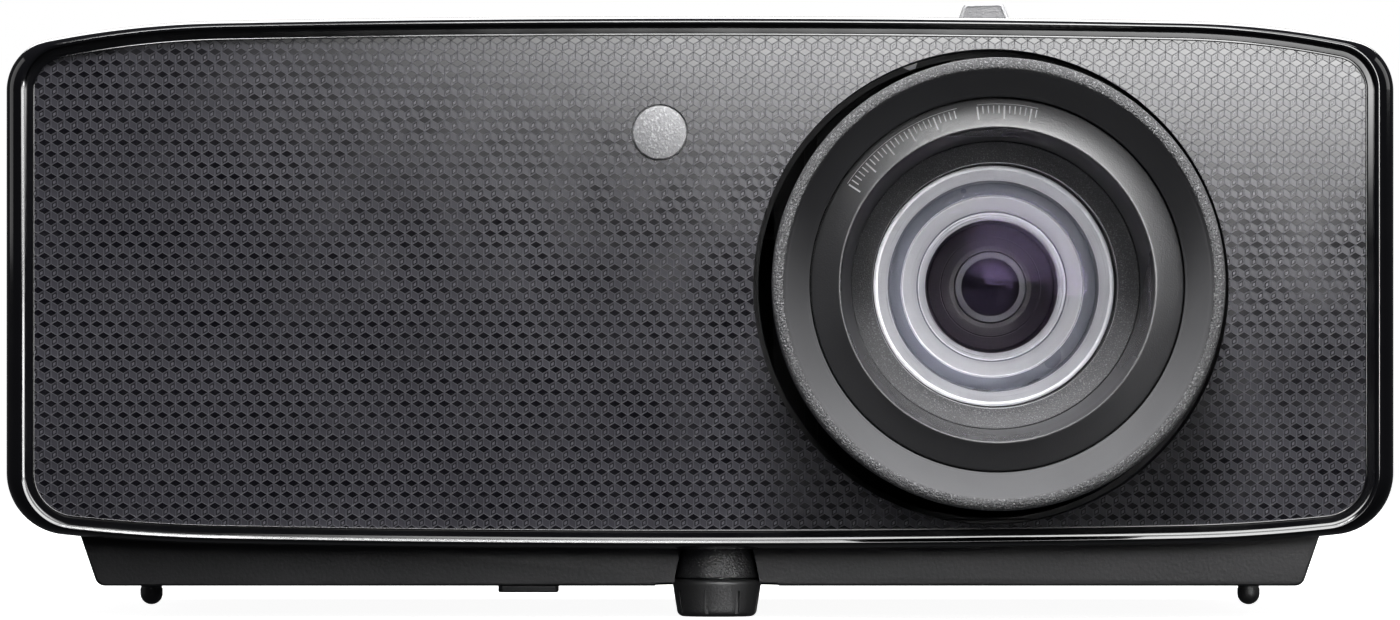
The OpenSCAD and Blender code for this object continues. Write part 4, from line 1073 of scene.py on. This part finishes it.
def icon(kind, cx, cy):
    """Outlines of a generic mark for a key."""
    if kind == "power":
        return [band(cx, cy, 1.7, 0.36, 125, 415), bar(cx, cy + 0.5, cx, cy + 2.3, 0.36)]
    if kind == "source":
        return [*[bar(cx - 1.8, cy + k, cx + 1.8, cy + k, 0.34) for k in (-1.4, 1.4)],
                bar(cx + 1.65, cy - 1.4, cx + 1.65, cy + 1.4, 0.34),
                [(cx - 1.0, cy - 0.8), (cx + 0.7, cy), (cx - 1.0, cy + 0.8)]]
    if kind == "menu":
        return [bar(cx - 1.7, cy + k, cx + 1.7, cy + k, 0.36) for k in (-1.1, 0, 1.1)]
    if kind == "enter":
        return [band(cx, cy, 1.0, 0.4, 0, 358, 28)]
    turn = {"up": 90, "down": -90, "left": 180, "right": 0}[kind]
    return [[polar(cx, cy, 1.7, turn + a) for a in (0, 130, -130)]]


def keypad():
    for kind in ("power", "source", "menu", "enter", "up", "down", "left", "right"):
        node = f"{kind}_button"
        low, high = cad_box(node)
        cx, cy = round_node(node)[:2]
        top = high.z - 0.03
        cap = [(0, low.z), (5.4, low.z + 1), (5.4, low.z + 2), (4.5, low.z + 2), (4.5, top - 0.55),
               (4.42, top - 0.3), (4.25, top - 0.12), (4.0, top - 0.02), (3.6, top), (0, top - 0.12)]
        lathe_up(f"{kind}_cap", cap, [KEY], f"{kind}_key", (cx, cy), 64, [node])
        ink = [prism(points, top - 0.05, top + 0.02) for points in icon(kind, cx, cy)]
        to_object(f"{kind}_icon", joined(f"{kind}_icon", ink), [INK_DIM], f"{kind}_key", ())


# ---- Finishes of the CAD nodes that are shown as they are ----

FINISHES = (  # material, nodes, width of the rounded edges
    (BACK, "rear_panel", 0.25), (GRILLE, "exhaust_grille intake_grille", 0.2),
    (PAD, "keypad_plate", 0.3), (DIAL, "shift_dial_h shift_dial_v", 0.3),
    (TIN, "port_sockets", 0.12), (INLET, "power_inlet", 0.3),
    (BOARD, "keypad_board dmd_board main_board", 0), (BOARD_TAN, "power_board", 0),
    (PIPE_CLEAR, "status_lights", 0), (BLACK_ZINC, "case_screws", 0), (BRASS, "ceiling_inserts", 0),
    (STEEL, "standoffs foot_screw", 0), (ANODISED, "lens_mount shift_plate_h shift_plate_v", 0),
    (DIAL, "zoom_ring", 0), (BARREL, "lens_barrel", 0), (CAST, "engine_housing light_tunnel", 0),
    (FINS, "dmd_heatsink laser_heatsink", 0), (CLEAR, "prism", 0), (PHOSPHOR, "phosphor_wheel", 0),
    (DICHROIC, "color_wheel", 0), (MOTOR, "wheel_motors laser_module", 0),
    (FAN, "fan_frames front_rotor rear_rotor speaker", 0),
)


def finish_nodes():
    for material, names, width in FINISHES:
        for obj in (cad[name] for name in names.split()):
            if not obj.material_slots:
                obj.data.materials.append(material)
            for slot in obj.material_slots:
                slot.material = material
            if width:
                edge = obj.modifiers.new("rounded", "BEVEL")
                edge.width = width * MM
                edge.segments = 2
                edge.limit_method = "ANGLE"
                edge.angle_limit = math.radians(35)
                edge.harden_normals = False


# ---- Camera, lights and floor ----

RIDGE_DISTANCE = 3.0
VIEW_WIDTH = 0.4028
CAMERA_Z = 0.0665
FRAME_MID_Z = 0.0887
CARD_Y = -1.634


def camera():
    data = bpy.data.cameras.new("camera")
    data.sensor_width = 36
    data.lens = 36 * RIDGE_DISTANCE / VIEW_WIDTH
    data.shift_y = (FRAME_MID_Z - CAMERA_Z) / VIEW_WIDTH
    data.clip_end = 50
    cam = add_object("camera", data)
    cam.location = (0, RIDGE_Y * MM - RIDGE_DISTANCE, CAMERA_Z)
    cam.rotation_euler = (math.pi / 2, 0, 0)
    bpy.context.scene.camera = cam


def area(name, place, target, size, power):
    data = bpy.data.lights.new(name, "AREA")
    data.shape = "RECTANGLE"
    data.size, data.size_y = size
    data.energy = power
    obj = add_object(name, data)
    obj.location = place
    direction = Vector(target) - Vector(place)
    obj.rotation_euler = direction.to_track_quat("-Z", "Y").to_euler()
    obj.visible_camera = False
    return obj


def bare_tree(owner):
    owner.use_nodes = True
    owner.node_tree.nodes.clear()
    return owner.node_tree


def gradient_card(name, centre, width, height, strength, fades, lean=0.0):
    """A glowing card facing +Y, soft at its edges. fades = (left, right, bottom, top) shares."""
    w, h = width / 2, height / 2
    mesh = bpy.data.meshes.new(name)
    mesh.from_pydata([(-w, 0, -h), (w, 0, -h), (w, 0, h), (-w, 0, h)], [], [(0, 3, 2, 1)])
    m = bpy.data.materials.new(name)
    tree = bare_tree(m)
    coords = tree.nodes.new("ShaderNodeTexCoord").outputs["Object"]
    leant = new_node(tree, "Mapping", {"Vector": coords, "Rotation": (0, math.radians(lean), 0)})
    split = new_node(tree, "SeparateXYZ", {"Vector": leant.outputs["Vector"]})
    left, right, bottom, top = fades
    value = strength
    for axis, start, run in (("X", -w, left * width), ("X", w, -right * width),
                             ("Z", -h, bottom * height), ("Z", h, -top * height)):
        ramp = tree.nodes.new("ShaderNodeMapRange")
        ramp.interpolation_type = "SMOOTHERSTEP"
        feed(tree, ramp, {"Value": split.outputs[axis], "From Min": start, "From Max": start + run})
        times = tree.nodes.new("ShaderNodeMath")
        times.operation = "MULTIPLY"
        value = feed(tree, times, {0: value, 1: ramp.outputs["Result"]}).outputs[0]
    glow = new_node(tree, "Emission", {"Strength": value})
    new_node(tree, "OutputMaterial", {"Surface": glow.outputs["Emission"]})
    mesh.materials.append(m)
    obj = add_object(name, mesh)
    obj.location = centre
    obj.visible_camera = obj.visible_shadow = obj.visible_diffuse = False


def colour_management():
    settings = bpy.context.scene.view_settings
    settings.view_transform = "Standard"
    settings.look = "None"


def world():
    """White behind the object for the camera, and a dim room for all other light."""
    bpy.context.scene.world = bpy.data.worlds.new("studio")
    tree = bare_tree(bpy.context.scene.world)
    seen = new_node(tree, "Background", {"Color": (1, 1, 1, 1), "Strength": 1.0})
    room = new_node(tree, "Background", {"Color": (0.9, 0.92, 1, 1), "Strength": 0.05})
    path = tree.nodes.new("ShaderNodeLightPath")
    mix = new_node(tree, "MixShader", {0: path.outputs["Is Camera Ray"], 1: room.outputs["Background"],
                                       2: seen.outputs["Background"]})
    new_node(tree, "OutputWorld", {"Surface": mix.outputs["Shader"]})


def floor():
    s = 6.0
    mesh = bpy.data.meshes.new("floor")
    mesh.from_pydata([(-s, -s, 0), (s, -s, 0), (s, s, 0), (-s, s, 0)], [], [(0, 1, 2, 3)])
    m, tree, bsdf, coords = nodes_of("floor_paper")
    slow = noise(tree, coords, 3.0, 2.0)
    feed(tree, bsdf, {
        "Base Color": mixed_color(tree, slow, (0.78, 0.78, 0.79, 1), (0.82, 0.82, 0.82, 1)),
        "Roughness": 0.7, "Specular IOR Level": 0.0, "Emission Color": (1, 1, 1, 1),
        "Emission Strength": 0.95})
    mesh.materials.append(m)
    obj = add_object("floor", mesh)
    obj.visible_glossy = obj.visible_diffuse = False


panel_relief()
bezel()
top_cover()
bottom_case()
feet()
focus_ring()
face_ring()
retainer()
glass()
inner_cell()
liner()
zoom_lever()
ir_window()
keypad()
finish_nodes()
camera()
colour_management()
world()
floor()
gradient_card("key_card", (0.53, CARD_Y, 1.055), 1.46, 1.9, 18.0, (0.25, 0.2, 0.055, 0.1), -5)
area("front_top", (0.1, -0.95, 1.42), (0.06, -0.13, 0.1), (0.5, 0.5), 30)
gradient_card("line_card_high", (-0.2, CARD_Y, 1.1), 0.5, 0.5, 60.0, (0.15, 0.15, 0.15, 0.15))
gradient_card("line_card_right", (0.86, CARD_Y, 0.2), 0.44, 0.38, 50.0, (0.15, 0.15, 0.1, 0.15))
fill = area("front_fill", (-0.2, -2.4, 0.6), (0, -0.13, 0.09), (1.6, 0.8), 5)
fill.visible_glossy = False
area("top_soft", (0.15, -0.3, 1.5), (0, -0.1, 0.1), (1.4, 0.7), 18)
area("left_soft", (-1.8, 0.35, 0.7), (0, 0, 0.1), (0.8, 1.2), 3)
area("right_soft", (1.9, 0.35, 0.8), (0, 0, 0.1), (0.8, 1.2), 5)
area("back_soft", (0, 2.0, 1.2), (0, 0, 0.1), (1.8, 1.0), 30)
